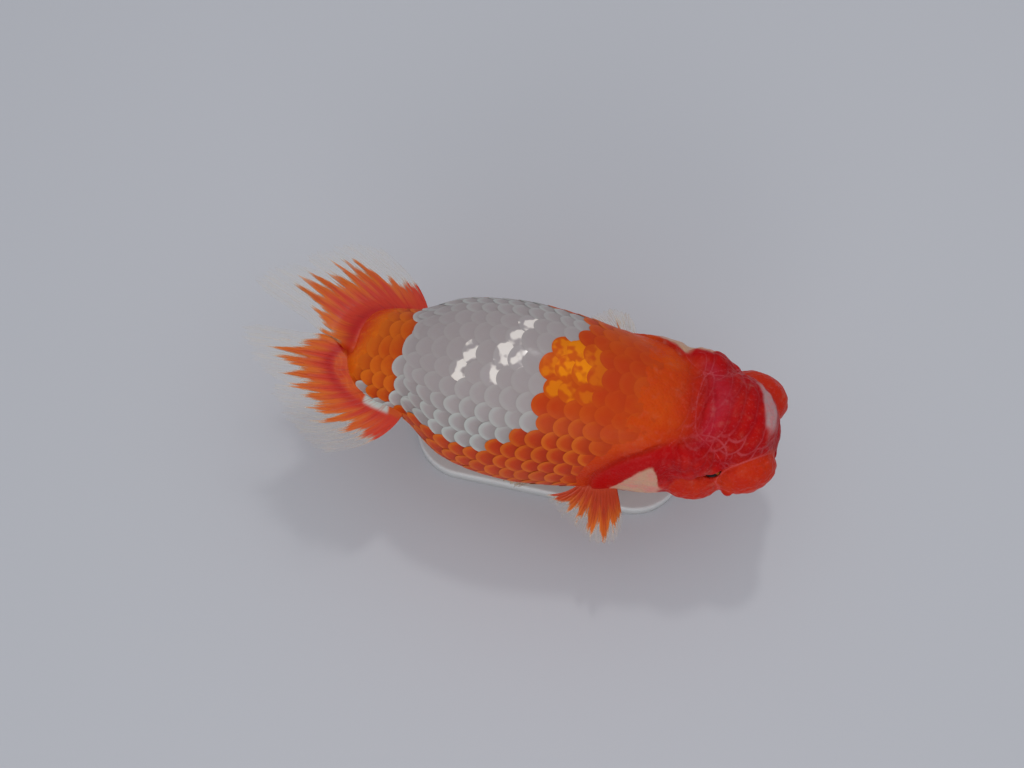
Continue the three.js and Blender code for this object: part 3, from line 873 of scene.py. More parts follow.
def skin_finish(colours):
    """Moist, finely pimpled skin: deep red hood, orange-red growths, pink furrows, cream gill covers, with
    painted shade in the hood's valleys and a lilac-pink sheen painted across the crown.
    """
    finish = Finish("goldfish_skin", {
        "Subsurface Weight": 0.12, "Subsurface Radius": (1.2, 0.5, 0.3), "Subsurface Scale": MM,
        "Specular IOR Level": 0.06, "Coat Roughness": 0.25,
    })
    fine, coarse = finish.grain(1.2), finish.grain(6)
    growth = finish.layers(colours.growth, (coarse.ramp(0.4, 0.7, 0, 0.5), colours.orange))
    pale = finish.layers(colours.cream, (coarse.ramp(0.4, 0.75, 0, 0.5), colours.furrow))
    bare = finish.layers(colours.pearl, (fine.ramp(0.3, 0.7, 0.1, 0.45), colours.furrow))
    hood = finish.layers(
        colours.hood,
        (coarse.ramp(0.35, 0.7, 0, 0.4), colours.growth),
        # Painted shade in the valleys between the lobules.
        (finish.share("fold").ramp(0.5, 0.95, 0.5, 0), colours.painted_valley_shade),
        (finish.share("growth"), growth),
        (finish.grain(0.7).ramp(0.56, 0.75, 0, 0.16), colours.furrow),
        # Painted sheen across the crown.
        (finish.share("bloom") * coarse.ramp(0.3, 0.6, 0.3, 0.75), colours.painted_sheen),
    )
    furrow = finish.share("furrow").ramp(0.45, 1, 0, 0.36)
    web = finish.share("rim").ramp(0.8, 1, 0, 0.34) * finish.share("web")
    patch = finish.share("cream") + finish.grain(3) * 0.9 - 0.45
    thin = finish.share("crescent") + fine * 0.2 - 0.1
    colour = finish.layers(
        body_colour(finish, colours),
        (finish.share("arcs") * 0.5, colours.rim),
        (finish.share("hood"), hood),
        (finish.share("band"), colours.hood),
        (furrow.largest(web) * coarse.ramp(0.3, 0.6, 0.35, 1), colours.furrow),
        (patch.ramp(0.05, 0.85), pale),
        (thin.ramp(0, 0.9, 0, 0.8), bare),
    )
    relief = finish.bump(finish.pimples(0.8) * -1 + fine * 0.5, 0.2, 0.8)
    finish.set(base_color=colour, roughness=coarse.ramp(0.3, 0.7, 0.34, 0.46), normal=relief,
               coat_weight=fine.ramp(0.3, 0.7, 0.02, 0.07))
    return finish


# ---- scales

TRUNK_COAT = (36, 99.5)  # from where to where the trunk's rows of scales run
STALK_COAT = (98.5, 115.5)
STALK_PITCH = 0.8  # the stalk's pitch as a share of the trunk's
LEFT_OF_BELLY = -115  # degrees
UNDER_TAIL = 122  # scales left of the belly may run back to here
STRAY_ALONG = 0.22  # how far a scale strays from its row's even places
STRAY_AROUND = 0.05  # the same round the body, as a share of the distance between rows
SIZE_SPREAD = 0.06
SCALE_TWIST = 5  # degrees
COAT_END = BODY_REAR - 1.5  # no scale reaches further back
SCALE_GRID = 13
SCALE_LENGTH = 0.93  # half of a scale's length as a share of its pitch
SCALE_HEIGHT = 0.66  # half of its height as a share of the distance between rows
SCALE_ROOT_SINK = 0.4
SCALE_EDGE_LIFT = 0.05
FIRST_ROWS_SINK = 0.2
SCALE_DOME = 0.09
SCALE_TILT = 0.11
BAKE_PATCH = 0.0035  # how far a scale's patch reaches on the bake's map
COAT_PIECES = 3
SHARP_RIM = math.radians(50)  # keeps a scale's rim from shading its upper face


def scale_sites(shape, rng):
    """Where each scale sits: place along, angle round, half-length, half-angle, twist and tilts."""
    sites = []
    lattices = (shape.scale_rows, 1, TRUNK_COAT), (shape.stalk_rows, STALK_PITCH, STALK_COAT)
    for rows, closeness, (front, rear) in lattices:
        spacing, pitch = 360 / rows, closeness * (shape.scale_pitch / MM)
        for row in range(rows):
            angle = (row + 0.25) * spacing - 180
            for place in np.arange(front + pitch / 2 * (row % 2), rear, pitch):
                stray = rng.uniform(-1, 1, 7)
                s, around = place + STRAY_ALONG * stray[0], angle + STRAY_AROUND * spacing * stray[1]
                rear_edge = max(tail_lap(around), UNDER_TAIL * (around < LEFT_OF_BELLY))
                if scales_begin(abs(around)) < s < rear_edge:
                    length = SCALE_LENGTH * pitch * (1 + SIZE_SPREAD * stray[2])
                    height = SCALE_HEIGHT * spacing * (1 + SIZE_SPREAD * stray[3])
                    turns = SCALE_TWIST * stray[4], *(SCALE_TILT * stray[5:])
                    sites.append((s, around, length, height, *turns))
    return np.array(sorted(sites))


def round_grid(count):
    """A square grid pressed into a disc, so that its rim is round and its faces stay even."""
    line = np.linspace(-1, 1, count)
    x, y = np.meshgrid(line, line, indexing="ij")
    return x * np.sqrt(1 - y**2 / 2), y * np.sqrt(1 - x**2 / 2)


def scale_contrast(s, angle):
    """How clearly scales stand apart: strongly low on the flanks, softly along the back and nape."""
    low = smoothstep(15, 62, np.abs(angle))
    return 0.15 + 0.85 * low * smoothstep(44, 58 - 10 * low, s) + 0.4 * (1 - low) * smoothstep(96, 102, s)


def scale_meshes(sites, thickness):
    """Places of all scales' vertices: top grids and bottom grids, scale by scale."""
    x, y = (part.ravel() for part in round_grid(SCALE_GRID))
    s, angle, length, height, twist, nod, roll = (column[:, None] for column in sites.T)
    bold = 0.2 + 0.7 * scale_contrast(s, angle)
    turn = np.radians(twist)
    tall = np.radians(height) * half_width(s)
    along, across = length * x, tall * y
    place = s + along * np.cos(turn) - across * np.sin(turn)
    around = angle + np.degrees((along * np.sin(turn) + across * np.cos(turn)) / half_width(s))
    place = np.minimum(place, COAT_END)
    surface, normal = body_point(place, around), body_normal(place, around)
    rise = (x + 1) / 2
    first_rows = smoothstep(9, 1, s - scales_begin(np.abs(angle)))
    lift = SCALE_EDGE_LIFT * rise**1.3 - SCALE_ROOT_SINK * (1 - rise) - FIRST_ROWS_SINK * first_rows
    lift = bold * (lift + SCALE_DOME * (1 - x**2 - y**2) + nod * np.maximum(x, 0) + roll * y * rise)
    rim = np.clip(1 - (x**2 + y**2) ** 2, 0.25, 1)
    top = surface + normal * lift[..., None]
    bottom = top - normal * (thickness * rim * bold)[..., None]
    return np.stack([top, bottom], 1), x, y


class GOLDFISH_OT_scales(bpy.types.Operator):
    """Lays overlapping scales over the skin of the trunk and tail stalk"""

    bl_idname = "goldfish.scales"
    bl_label = "Scales"

    def execute(self, context):
        shape, colours = context.scene.goldfish_shape, context.scene.goldfish_colours
        rng = np.random.default_rng(SEEDS["scales"])
        sites = scale_sites(shape, rng)
        faces = sheet_faces(SCALE_GRID, SCALE_GRID)
        finish = scale_finish(colours)
        for number, group in enumerate(np.array_split(sites, COAT_PIECES)):
            places, x, y = scale_meshes(group, shape.scale_thickness / MM)
            count = 2 * len(x)
            quads = (faces + count * np.arange(len(group))[:, None, None]).reshape(-1, 4)
            coat = new_piece(f"scales_{number + 1}", in_frame(places).reshape(-1, 3), quads)
            s, angle, length = group[:, :3].T
            shares = markings(*body_point(s + 0.45 * length, angle).T)
            shares["pearl"] = (shares["pearl"] > 0.5).astype(float)
            gold = np.clip(1.6 * shares["gold"] * rng.uniform(0.5, 1.2, len(group)), 0, 1)
            shares["gold"] = gold * (gold > 0.3) * (1 - shares["pearl"])
            shares["tone"] = rng.uniform(0, 1, len(group))
            # Scales picked for painted glints and a glossier, less rough coat.
            glinting = soft_patch(s, angle, *GLINT_PATCH) > rng.uniform(0.2, 1.5, len(group))
            shares["shine"] = glinting * shares["pearl"]
            shares["contrast"] = scale_contrast(s, angle)
            add_shares(coat, {name: np.repeat(value, count) for name, value in shares.items()})
            own = {"edge": np.sqrt(x**2 + y**2), "back": x, "side": y}
            add_shares(coat, {name: np.tile(value, 2 * len(group)) for name, value in own.items()})
            coat.data.set_sharp_from_angle(angle=SHARP_RIM)
            add_bake_map(coat, group, x, y)
            finish.onto(coat)
        return {"FINISHED"}


def add_bake_map(coat, sites, x, y):
    """Gives each scale a small patch at its root's place on a map of the body unrolled."""
    s, angle, length = sites[:, :3].T
    root = np.stack([(s - length) / BODY_REAR, (angle + 180) / 360], -1)
    patch = np.stack([x, y], -1) * BAKE_PATCH / 2
    spread = np.clip(root[:, None] * 0.98 + 0.01 + patch, 0, 1)
    per_vertex = np.repeat(spread[:, None], 2, axis=1).reshape(-1, 2)
    corners = np.empty(len(coat.data.loops), np.int32)
    coat.data.loops.foreach_get("vertex_index", corners)
    unwrap = coat.data.uv_layers.new(name="OFBake")
    unwrap.uv.foreach_set("vector", per_vertex[corners].astype(np.float32).ravel())


def scale_finish(colours):
    """Glossy scales: orange or pearl in their middles, paler along their free edges partly as a painted
    highlight, darker at their roots as painted shade, with painted glints on the brightest.
    """
    finish = Finish("goldfish_scales", {
        "Subsurface Weight": 0.1, "Subsurface Radius": (1, 0.6, 0.4), "Subsurface Scale": MM,
        "Specular IOR Level": 0.1, "Coat Roughness": 0.12,
    })
    names = ("edge", "tone", "shine", "gold", "pearl", "back", "side", "contrast")
    edge, tone, shine, gold, pearl, back, side, contrast = (finish.share(name) for name in names)
    rim = finish.layers(colours.rim, (pearl, colours.pearl_rim))
    deep = finish.layers(colours.deep, (pearl, colours.pearl_shade))
    leaf = (finish.grain(2.6, 1.0) - 0.5) * 2.6 - back * back * 0.7 - side * side * 0.8
    colour = finish.layers(
        body_colour(finish, colours),
        # Painted shade: darker towards each scale's root, behind the free edge of the scale over it.
        (back.ramp(0.6, -0.2) * contrast * 0.65, deep),
        # Paler free edges: partly the scales' own thin margins, partly a painted highlight.
        (edge.ramp(0.5, 1.0) * back.ramp(-0.3, 0.7) * contrast * 0.85, rim),
        (tone * contrast * 0.25, deep),
        (gold * leaf.ramp(-0.6, -0.1), colours.gold),
        # Painted highlight: pale glint patches on the brightest pearl scales.
        (shine * leaf.ramp(-0.5, -0.1), colours.glint),
    )
    rings = (edge * 90).sine()
    relief = rings * 0.2 + finish.grain(0.9) * 0.8 + finish.grain(2.4, 1.0) * 3
    finish.set(base_color=colour, normal=finish.bump(relief, 0.05, 0.6),
               roughness=shine.ramp(0, 1, 0.5, 0.2), coat_weight=shine.ramp(0, 1, 0.04, 0.9),
               metallic=gold * 0.25)
    return finish


# ---- fins

# Each fin's left side: where its rays are rooted, what they bow towards and where they end.
TAIL_SIDE = (
    [(118.5, 0, 4.6), (117, 5.6, 4.2), (113, 10.6, 3), (107, 13.4, 1.6), (100.5, 14.8, 0.6)],
    [(130, 1.2, 9.5), (128, 8.5, 9), (124, 16, 7), (115, 22.5, 3), (103.5, 25.4, -2)],
    [(148.5, 6, 14), (144, 12.4, 12.4), (137.6, 18.6, 10), (131, 25.4, 7.4), (121.5, 31.8, 4.2)],
)
PAIRED_FINS = {
    "pectoral_fin_right": (
        [(41.5, 18.5, -9), (45.5, 19.6, -10.4), (50, 19.8, -11.6)],
        [(38.5, 24.5, -9.6), (44.4, 26, -12.2), (53.6, 24, -13.4)],
        [(36.6, 30.2, -11), (38.6, 34.8, -13.6), (44.6, 35.2, -16), (52.4, 30.2, -17), (60.6, 24.2, -16)],
    ),
    "pectoral_fin_left": (
        [(42.5, 18.6, -9), (45.5, 19.6, -10.4), (49, 19.6, -11.6)],
        [(43.4, 25, -10), (48.4, 27, -12.4), (53.4, 26.4, -13.4)],
        [(44.6, 30, -12), (48.6, 34.4, -14.6), (54.6, 34, -16.6), (59.6, 29.6, -17.4), (60, 25.4, -16.6)],
    ),
}
PELVIC_FIN = (
    [(55, 9.5, -26.5), (58, 8, -28), (61.5, 6.4, -28.6)],
    [(60, 14.5, -30), (64, 12, -32), (67, 8, -32)],
    [(66.5, 19.4, -31.4), (71.5, 18.6, -34.4), (75.5, 14.4, -36), (76.6, 8.6, -35)],
)
ANAL_FIN = (
    [(94, 3.4, -19.6), (97, 3.2, -17), (100.5, 3, -14)],
    [(99.5, 4.6, -23.4), (103, 4.6, -20), (104.6, 4.2, -15.5)],
    [(105.5, 6, -26.4), (110.4, 6.6, -24.6), (113, 6.2, -20), (111.4, 5.4, -15.6)],
)
for fin_side, _ in SIDES:
    PAIRED_FINS[f"pelvic_fin_{fin_side}"] = PELVIC_FIN
    PAIRED_FINS[f"anal_fin_{fin_side}"] = ANAL_FIN
ROOT_SINK = 1.6  # how far a fin's root runs into the skin
SAMPLES_PER_RAY = 8
RAY_STEPS = 56
PECTORAL_RAYS = 14
PALE_FIN_RAYS = 9
TAIL_THICKNESS = 0.5
FIN_THICKNESS = 0.42
TAIL_FLESH = 3.6  # how far the tail's root swells towards the back of the stalk
FORK_DEPTH = 0.16
RAY_NUDGE = 0.004  # a fin's slope is measured this far to each side of a place
PEARL_ON_FINS = 103  # fins are marked with white only behind here


def fin_sheet(curves, side):
    """A fin's middle as a function of the ray and the reach along it, both from 0 to 1."""
    root_path, bow_path, tip_path = (path(curve) for curve in curves)

    def point(ray, reach):
        root, bow, tip = at_body(root_path(ray), ROOT_SINK), bow_path(ray), tip_path(ray)
        reach = reach[..., None]
        places = root * (1 - reach) + bow * reach
        places = places * (1 - reach) + (bow * (1 - reach) + tip * reach) * reach
        sway = 0
        if curves is TAIL_SIDE:
            web = smoothstep(0.14, 0, ray) * smoothstep(132, 125, places[..., 0])
            places[..., 1] *= 1 - web
            sway = TAIL_SWAY * np.maximum(places[..., 0] - BODY_REAR, 0)
        places[..., 1] = side * places[..., 1] + sway
        return places

    return point


def fin_mesh(point, rays, rng, thickness, flesh, fork_depth):
    """A closed thin fin with raised rays and a frayed edge, and what its finish reads."""
    ray = np.linspace(0, 1, rays * SAMPLES_PER_RAY + 1)
    reach = np.linspace(0, 1, RAY_STEPS)
    ray, reach = np.meshgrid(ray, reach, indexing="ij")
    number = ray * rays
    beside = np.abs(number - np.round(number))  # 0 on a ray, 0.5 half-way to the next
    fray = rng.uniform(0, 0.05, rays + 1)
    edge = 1 - np.interp(number, np.arange(rays + 1), fray) - 0.1 * beside
    # The fork, and the corners of the first and last rays rounded off.
    edge = edge - fork_depth * hump(ray, *TAIL_FORK) - 0.10 * hump(ray, 0, 0.02) - 0.06 * hump(ray, 1, 0.03)
    stretched = reach * edge
    middle = point(ray, stretched)
    shorter, longer = (np.clip(stretched + nudge, 0, 1) for nudge in (-RAY_NUDGE, RAY_NUDGE))
    before, after = (np.clip(ray + nudge, 0, 1) for nudge in (-RAY_NUDGE, RAY_NUDGE))
    along = point(ray, longer) - point(ray, shorter)
    around = point(after, stretched) - point(before, stretched)
    normal = np.cross(along, around)
    normal /= np.linalg.norm(normal, axis=-1, keepdims=True)
    branches = np.where(stretched > 0.5, np.abs(2 * number - np.round(2 * number)), beside)
    ridge = smoothstep(0.22, 0.0, branches) * smoothstep(1.0, 0.6, stretched)
    ridge *= smoothstep(0.05, 0.3, stretched)
    ripple = 0.35 * np.sin(number * 1.7 + 1) * smoothstep(0.2, 1, stretched)
    fleshy = hump(stretched, 0, 0.15)
    # Thickest at the fleshy root, thin at the edge and proud along each ray.
    half = thickness * (0.14 + 0.28 * (1 - stretched) + 0.2 * ridge + 2.2 * fleshy)
    upper = flesh * hump(stretched, 0.02, 0.13) * hump(ray, 0, 0.6)
    top = middle + normal * (ripple + half + upper)[..., None]
    bottom = middle + normal * (ripple - half)[..., None]
    places = np.stack([top, bottom]).reshape(-1, 3)
    shares = {"reach": stretched, "number": number, "ridge": ridge, "beside": beside}
    return places, sheet_faces(*ray.shape), {k: np.tile(v.ravel(), 2) for k, v in shares.items()}


def fin_colour_shares(shares, rays, rng, envelope, pad, frayed):
    """Where the fin is coloured: an envelope over the rays that ends in flame-like spikes.

    The pad is the scaled flesh at the fin's root, with a crease where the rays leave it that is darkened as
    painted shade; frayed tells how deep the gaps between the spikes are, along the fin's edge.
    """
    ray, reach = shares["number"] / rays, shares["reach"]
    spikes = rays // 2
    knots = np.concatenate([[0], np.cumsum(rng.uniform(0.6, 1.4, spikes))])
    place = np.interp(ray, knots / knots[-1], np.arange(spikes + 1))
    aside = 2 * np.abs(place - np.floor(place) - 0.5)
    spike = np.clip(place.astype(int), 0, spikes - 1)
    length = rng.uniform(0.86, 1.04, spikes)[spike]
    ragged = 1 - 0.3 * smoothstep(0.1, 1, aside) * smoothstep(0.97, 0.82, ray) * frayed(ray)
    limit = envelope(ray) * (1 + (length - 1) * (1 - aside)) * ragged
    left = limit - reach - 0.05 * shares["beside"] * smoothstep(0.2, 0.5, reach)
    shares["left"] = left
    shares["tip"] = smoothstep(0.42, 0.1, left) * smoothstep(0.98, 0.8, ray)
    past_pad = reach - pad(ray)
    shares["pad"] = smoothstep(0.03, -0.03, past_pad)
    creased = smoothstep(-0.1, 0.01, pad(ray)) * smoothstep(1.2, 0.2, ray)
    # Painted shade: a dark line where the rays leave the pad, along the crease.
    shares["crease"] = hump(past_pad, 0.05, 0.06) * creased


tail_envelopes = {
    "left": profile([(0, 0.32), (0.1, 0.45), (0.2, 0.64), (0.33, 0.86), (0.45, 0.78), (0.55, 0.74),
                     (0.66, 0.86), (0.76, 0.82), (0.88, 0.56), (1, 0.48)]),
    "right": profile([(0, 0.32), (0.08, 0.55), (0.2, 0.84), (0.35, 0.76), (0.5, 0.8), (0.62, 0.76),
                      (0.75, 0.7), (0.9, 0.58), (1, 0.52)]),
}
tail_pads = {
    "left": profile([(0, 0.02), (0.6, 0.02), (1, 0)]),
    "right": profile([(0, -0.1), (0.1, 0.1), (0.25, 0.2), (0.6, 0.17), (1, 0.12)]),
}
no_pad = profile([(0, -1), (1, -1)])
all_frayed = profile([(0, 1), (1, 1)])
rear_frayed = profile([(0, 0), (0.2, 0.1), (0.34, 1), (1, 0.8)])
pectoral_envelopes = {
    "left": profile([(0, 0.36), (0.25, 0.5), (0.45, 0.67), (0.7, 0.62), (1, 0.45)]),
    "right": profile([(0, 0.74), (0.14, 0.8), (0.26, 0.86), (0.4, 1.08), (0.56, 0.92), (0.8, 0.86),
                      (1, 0.84)]),
}
pale_envelope = profile([(0, 0.5), (1, 0.4)])


class GOLDFISH_OT_fins(bpy.types.Operator):
    """Builds the double tail and the paired fins with their rays and clear edges"""

    bl_idname = "goldfish.fins"
    bl_label = "Fins"

    def execute(self, context):
        shape, colours = context.scene.goldfish_shape, context.scene.goldfish_colours
        finishes = {
            "tail": fin_finish("goldfish_tail", colours, colours.fin, 0.07),
            "pectoral_right": fin_finish("goldfish_right_fin", colours, colours.pectoral, 0.07),
            "pectoral_left": fin_finish("goldfish_left_fin", colours, colours.pectoral, 0.16),
            "pelvic": fin_finish("goldfish_pelvic_fin", colours, colours.pectoral, 0.4),
            "anal": fin_finish("goldfish_anal_fin", colours, colours.fin, 0.4),
        }
        for number, (name, side) in enumerate(SIDES):
            nodes = [f"tail_{part}_lobe_{name}" for part in ("upper", "lower")]
            form = (TAIL_THICKNESS, TAIL_FLESH, FORK_DEPTH)
            look = (tail_envelopes[name], tail_pads[name], all_frayed)
            rng = np.random.default_rng(SEEDS["tail"] + number)
            sheet = fin_sheet(TAIL_SIDE, side)
            self.add(f"tail_{name}", nodes, side, sheet, shape.fin_rays, rng, form, look, finishes["tail"])
        for number, (node, curves) in enumerate(PAIRED_FINS.items()):
            kind, _, name = node.split("_")
            side = dict(SIDES)[name]
            rays, envelope, finish = PALE_FIN_RAYS, pale_envelope, finishes.get(kind)
            if kind == "pectoral":
                rays, envelope = PECTORAL_RAYS, pectoral_envelopes[name]
                finish = finishes[f"pectoral_{name}"]
            form, look = (FIN_THICKNESS, 0, 0), (envelope, no_pad, rear_frayed)
            rng = np.random.default_rng(SEEDS["paired_fins"] + number)
            self.add(f"{node}_rayed", [node], side, fin_sheet(curves, side), rays, rng, form, look, finish)
        return {"FINISHED"}

    def add(self, name, nodes, side, sheet, rays, rng, form, look, finish):
        places, quads, shares = fin_mesh(sheet, rays, rng, *form)
        fin_colour_shares(shares, rays, rng, *look)
        shares["pearl"] = markings(*places.T)["pearl"] * (places[:, 0] > PEARL_ON_FINS)
        fin = new_piece(name, in_frame(places), quads[:, ::side], nodes)
        add_shares(fin, shares)
        finish.onto(fin)


def fin_finish(name, colours, root_colour, clear):
    """Rayed membrane: red, orange at the colour's ends, then clear."""
    finish = Finish(name, {
        "Subsurface Weight": 0.08, "Subsurface Radius": (0.8, 0.4, 0.2), "Subsurface Scale": MM,
        "Specular IOR Level": 0.3, "Coat Roughness": 0.2,
    })
    names = ("ridge", "number", "reach", "left", "pad")
    ridge, number, reach, left, pad = (finish.share(name) for name in names)
    along_rays = finish.node("ShaderNodeCombineXYZ", None, {"X": number * 3, "Y": reach * 5})
    streaks = finish.node("ShaderNodeTexNoise", {"noise_dimensions": "2D"},
                          {"Vector": along_rays, "Scale": 1.0, "Detail": 2.0})
    pigment = (left + streaks * 0.3 - 0.15).ramp(-0.05, 0.1)
    arcs = (reach * 110 + (number * 1.6).sine() * 1.6).sine().ramp(0.2, 1, 0, 0.16)
    fleshy = finish.layers(
        colours.orange,
        (finish.grain(4).ramp(0.3, 0.7, 0, 0.4) + arcs, colours.rim),
        (finish.share("pearl") * streaks.ramp(0.3, 0.5, 0.7, 1), colours.pearl_rim),
    )
    colour = finish.layers(
        root_colour,
        (finish.share("tip") * streaks.ramp(0.3, 0.6, 0.6, 1), colours.fin_tip),
        (finish.share("beside").ramp(0.1, 0.5, 0, 0.14), colours.hood),
        (pad, fleshy),
        # Painted shade along the crease at the pad's edge.
        (finish.share("crease") * 0.8, colours.hood),
        (1 - pigment, colours.membrane),
    )
    fade = reach.ramp(0.75, 1.0, 0, 0.5)
    thin = (ridge * clear * 0.6 + streaks.ramp(0.4, 0.75, 0.4 * clear, 1.9 * clear)) * (1 - fade)
    alpha = pigment * streaks.ramp(0.25, 0.5, 0.86, 1) + (1 - pigment) * thin
    relief = finish.bump(ridge + streaks * 0.3 * (1 - pad), 0.12, 0.6)
    finish.set(base_color=colour, alpha=alpha, normal=relief, roughness=streaks.ramp(0.3, 0.7, 0.35, 0.5))
    return finish


# ---- eyes


EYE_RINGS = 72
EYE_SPOKES = 64
EYE_BULGE = 0.15  # how far the clear front stands out over the pupil
BULGE_WIDTH = 30  # degrees off the eye's axis
EYE_TURN = math.radians(12)  # how far the eyes look forwards


class GOLDFISH_OT_eyes(bpy.types.Operator):
    """Builds both eyes with a clear bulge over the pupil"""

    bl_idname = "goldfish.eyes"
    bl_label = "Eyes"

    def execute(self, context):
        finish = eye_finish(context.scene.goldfish_colours)
        off_axis = np.linspace(0, math.pi, EYE_RINGS)[:, None]
        round_axis = np.linspace(0, 2 * math.pi, EYE_SPOKES, endpoint=False)[None, :]
        gaze = np.degrees(off_axis) + 0 * round_axis
        bulge = EYE_RADIUS - EYE_BULGE + EYE_BULGE * hump(gaze, 0, BULGE_WIDTH)
        out = np.cos(off_axis) * bulge
        ahead = np.sin(off_axis) * np.cos(round_axis) * bulge
        up = np.sin(off_axis) * np.sin(round_axis) * bulge
        forwards = ahead * math.cos(EYE_TURN) + out * math.sin(EYE_TURN)
        outwards = out * math.cos(EYE_TURN) - ahead * math.sin(EYE_TURN)
        quads = lathe_faces(EYE_RINGS, EYE_SPOKES)
        for name, side in SIDES:
            offsets = np.stack([forwards, side * outwards, up], -1).reshape(-1, 3) * MM
            places = np.array(centre_of(f"eye_{name}")) + offsets
            eye = new_piece(f"eyeball_{name}", places, quads[:, ::side], [f"eye_{name}"])
            add_shares(eye, {"gaze": gaze})
            finish.onto(eye)
        return {"FINISHED"}


def eye_finish(colours):
    """A black pupil in a golden iris that darkens outwards, under a wet coat."""
    looks = {"Roughness": 0.4, "Coat Roughness": 0.05, "Specular IOR Level": 0.0}
    finish = Finish("goldfish_eye", looks)
    gaze = finish.share("gaze")
    fleck = finish.grain(0.5, stretch=(1, 0.4, 1))
    brown, dark, black = tint(150, 60, 16), tint(40, 14, 8), tint(8, 4, 3)
    iris = finish.layers(colours.iris, (fleck.ramp(0.35, 0.65), brown), (gaze.ramp(34, 48), dark))
    colour = finish.layers(black, (gaze.ramp(25, 28), iris))
    finish.set(base_color=colour, normal=finish.bump(fleck, 0.03, 0.4),
               coat_weight=gaze.ramp(44, 30, 0, 0.3))
    return finish


# ---- stand


CORNER_SHARE = 0.88  # the base's corner radius as a share of half its width
BASE_SPOKES = 128
ROD_SPOKES = 48
ROD_SINK = 1.2  # how far a rod runs on into the belly
EDGE_STEPS = 9
CLOSING = 0.01  # a ring this small closes a flat face
# A rod's foot and collar: shares of its radius, and heights above its foot.
ROD_OUTLINE = ((0.2, 0), (2, 0), (2.05, 0.2), (2.05, 1.4), (1.85, 1.7), (1.15, 1.8), (1, 2.0))


def circle(count):
    """Points of [x, y] evenly round a circle of radius 1."""
    turns = np.linspace(0, 2 * math.pi, count, endpoint=False)
    return np.stack([np.cos(turns), np.sin(turns)], -1)


class GOLDFISH_OT_stand(bpy.types.Operator):
    """Finishes the base with a rounded top edge and the rods with collars"""

    bl_idname = "goldfish.stand"
    bl_label = "Display stand"

    def execute(self, context):
        stand = context.scene.goldfish_stand
        paint_finish(stand).onto(self.base(stand.edge_round))
        steel = steel_finish(stand)
        for name in ("front", "rear"):
            steel.onto(self.rod(name))
        return {"FINISHED"}

    def base(self, edge_round):
        low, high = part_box("stand_base")
        half = (high - low) / 2
        corner = half.y * CORNER_SHARE
        across = circle(BASE_SPOKES)
        cores = np.sign(np.round(across, 6)) * np.array([half.x - corner, half.y - corner])
        levels = [(0.0, low.z)]
        for turn in np.linspace(0, math.pi / 2, EDGE_STEPS):
            levels.append((edge_round * (1 - math.cos(turn)), high.z - edge_round * (1 - math.sin(turn))))
        rings = [(cores + across * (corner - shrink), height) for shrink, height in levels]
        foot, top = rings[0][0], rings[-1][0]
        rings = [(foot * CLOSING, low.z), *rings, (top * 0.5, high.z), (top * CLOSING, high.z)]
        return self.turned("stand_plate", rings, "stand_plate", "stand_base")

    def rod(self, name):
        node = f"stand_rod_{name}"
        low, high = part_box(node)
        middle, radius = (low + high) / 2, (high.x - low.x) / 2
        outline = [(share, low.z + height * MM) for share, height in ROD_OUTLINE]
        outline += [(1, high.z + ROD_SINK * MM), (0.2, high.z + ROD_SINK * MM)]
        across = circle(ROD_SPOKES)
        rings = [(np.array(middle.xy) + radius * share * across, height) for share, height in outline]
        return self.turned(f"{node}_turned", rings, "stand_rod", node)

    def turned(self, name, rings, slot, node):
        places = [np.insert(ring, 2, height, axis=1) for ring, height in rings]
        faces = lathe_faces(len(rings), len(places[0]))
        return new_piece(name, np.concatenate(places), faces, [node])


def paint_finish(stand):
    """Fine-textured paint."""
    finish = Finish("stand_paint", {"Specular IOR Level": 0.5})
    grain, cloud = finish.grain(0.5), finish.grain(14)
    colour = finish.layers(stand.paint, (cloud.ramp(0.3, 0.7, 0, 0.35), tint(190, 190, 188)))
    finish.set(base_color=colour, normal=finish.bump(grain, 0.03, 0.35),
               roughness=grain.ramp(0.3, 0.7, 0.38, 0.5))
    return finish


def steel_finish(stand):
    """Steel that is brushed round the rods."""
    finish = Finish("stand_steel", {"Metallic": 1.0})
    brushed = finish.grain(0.35, stretch=(0.15, 0.15, 3))
    colour = finish.layers(stand.steel, (brushed.ramp(0.3, 0.7), tint(160, 162, 166)))
    finish.set(base_color=colour, normal=finish.bump(brushed, 0.01, 0.4),
               roughness=brushed.ramp(0.3, 0.7, 0.22, 0.38))
    return finish


# ---- studio


AIM = 74  # the camera and lamps point this far behind the snout's tip
# The studio's own sizes are in metres. Each lamp has a place and a width.
FLOOR_REACH = 3.0
LAMPS = (
    ("key", (0.15, 0.05, 0.9), 1.4),
    ("fill", (0.05, -0.6, 0.22), 0.45),
    ("glint", (0.0, 0.2, 0.5), 0.04),
)
SKY_STRENGTH = 0.58
LENS, SENSOR_WIDTH = 50, 36  # millimetres
NEAREST_SEEN = 0.01


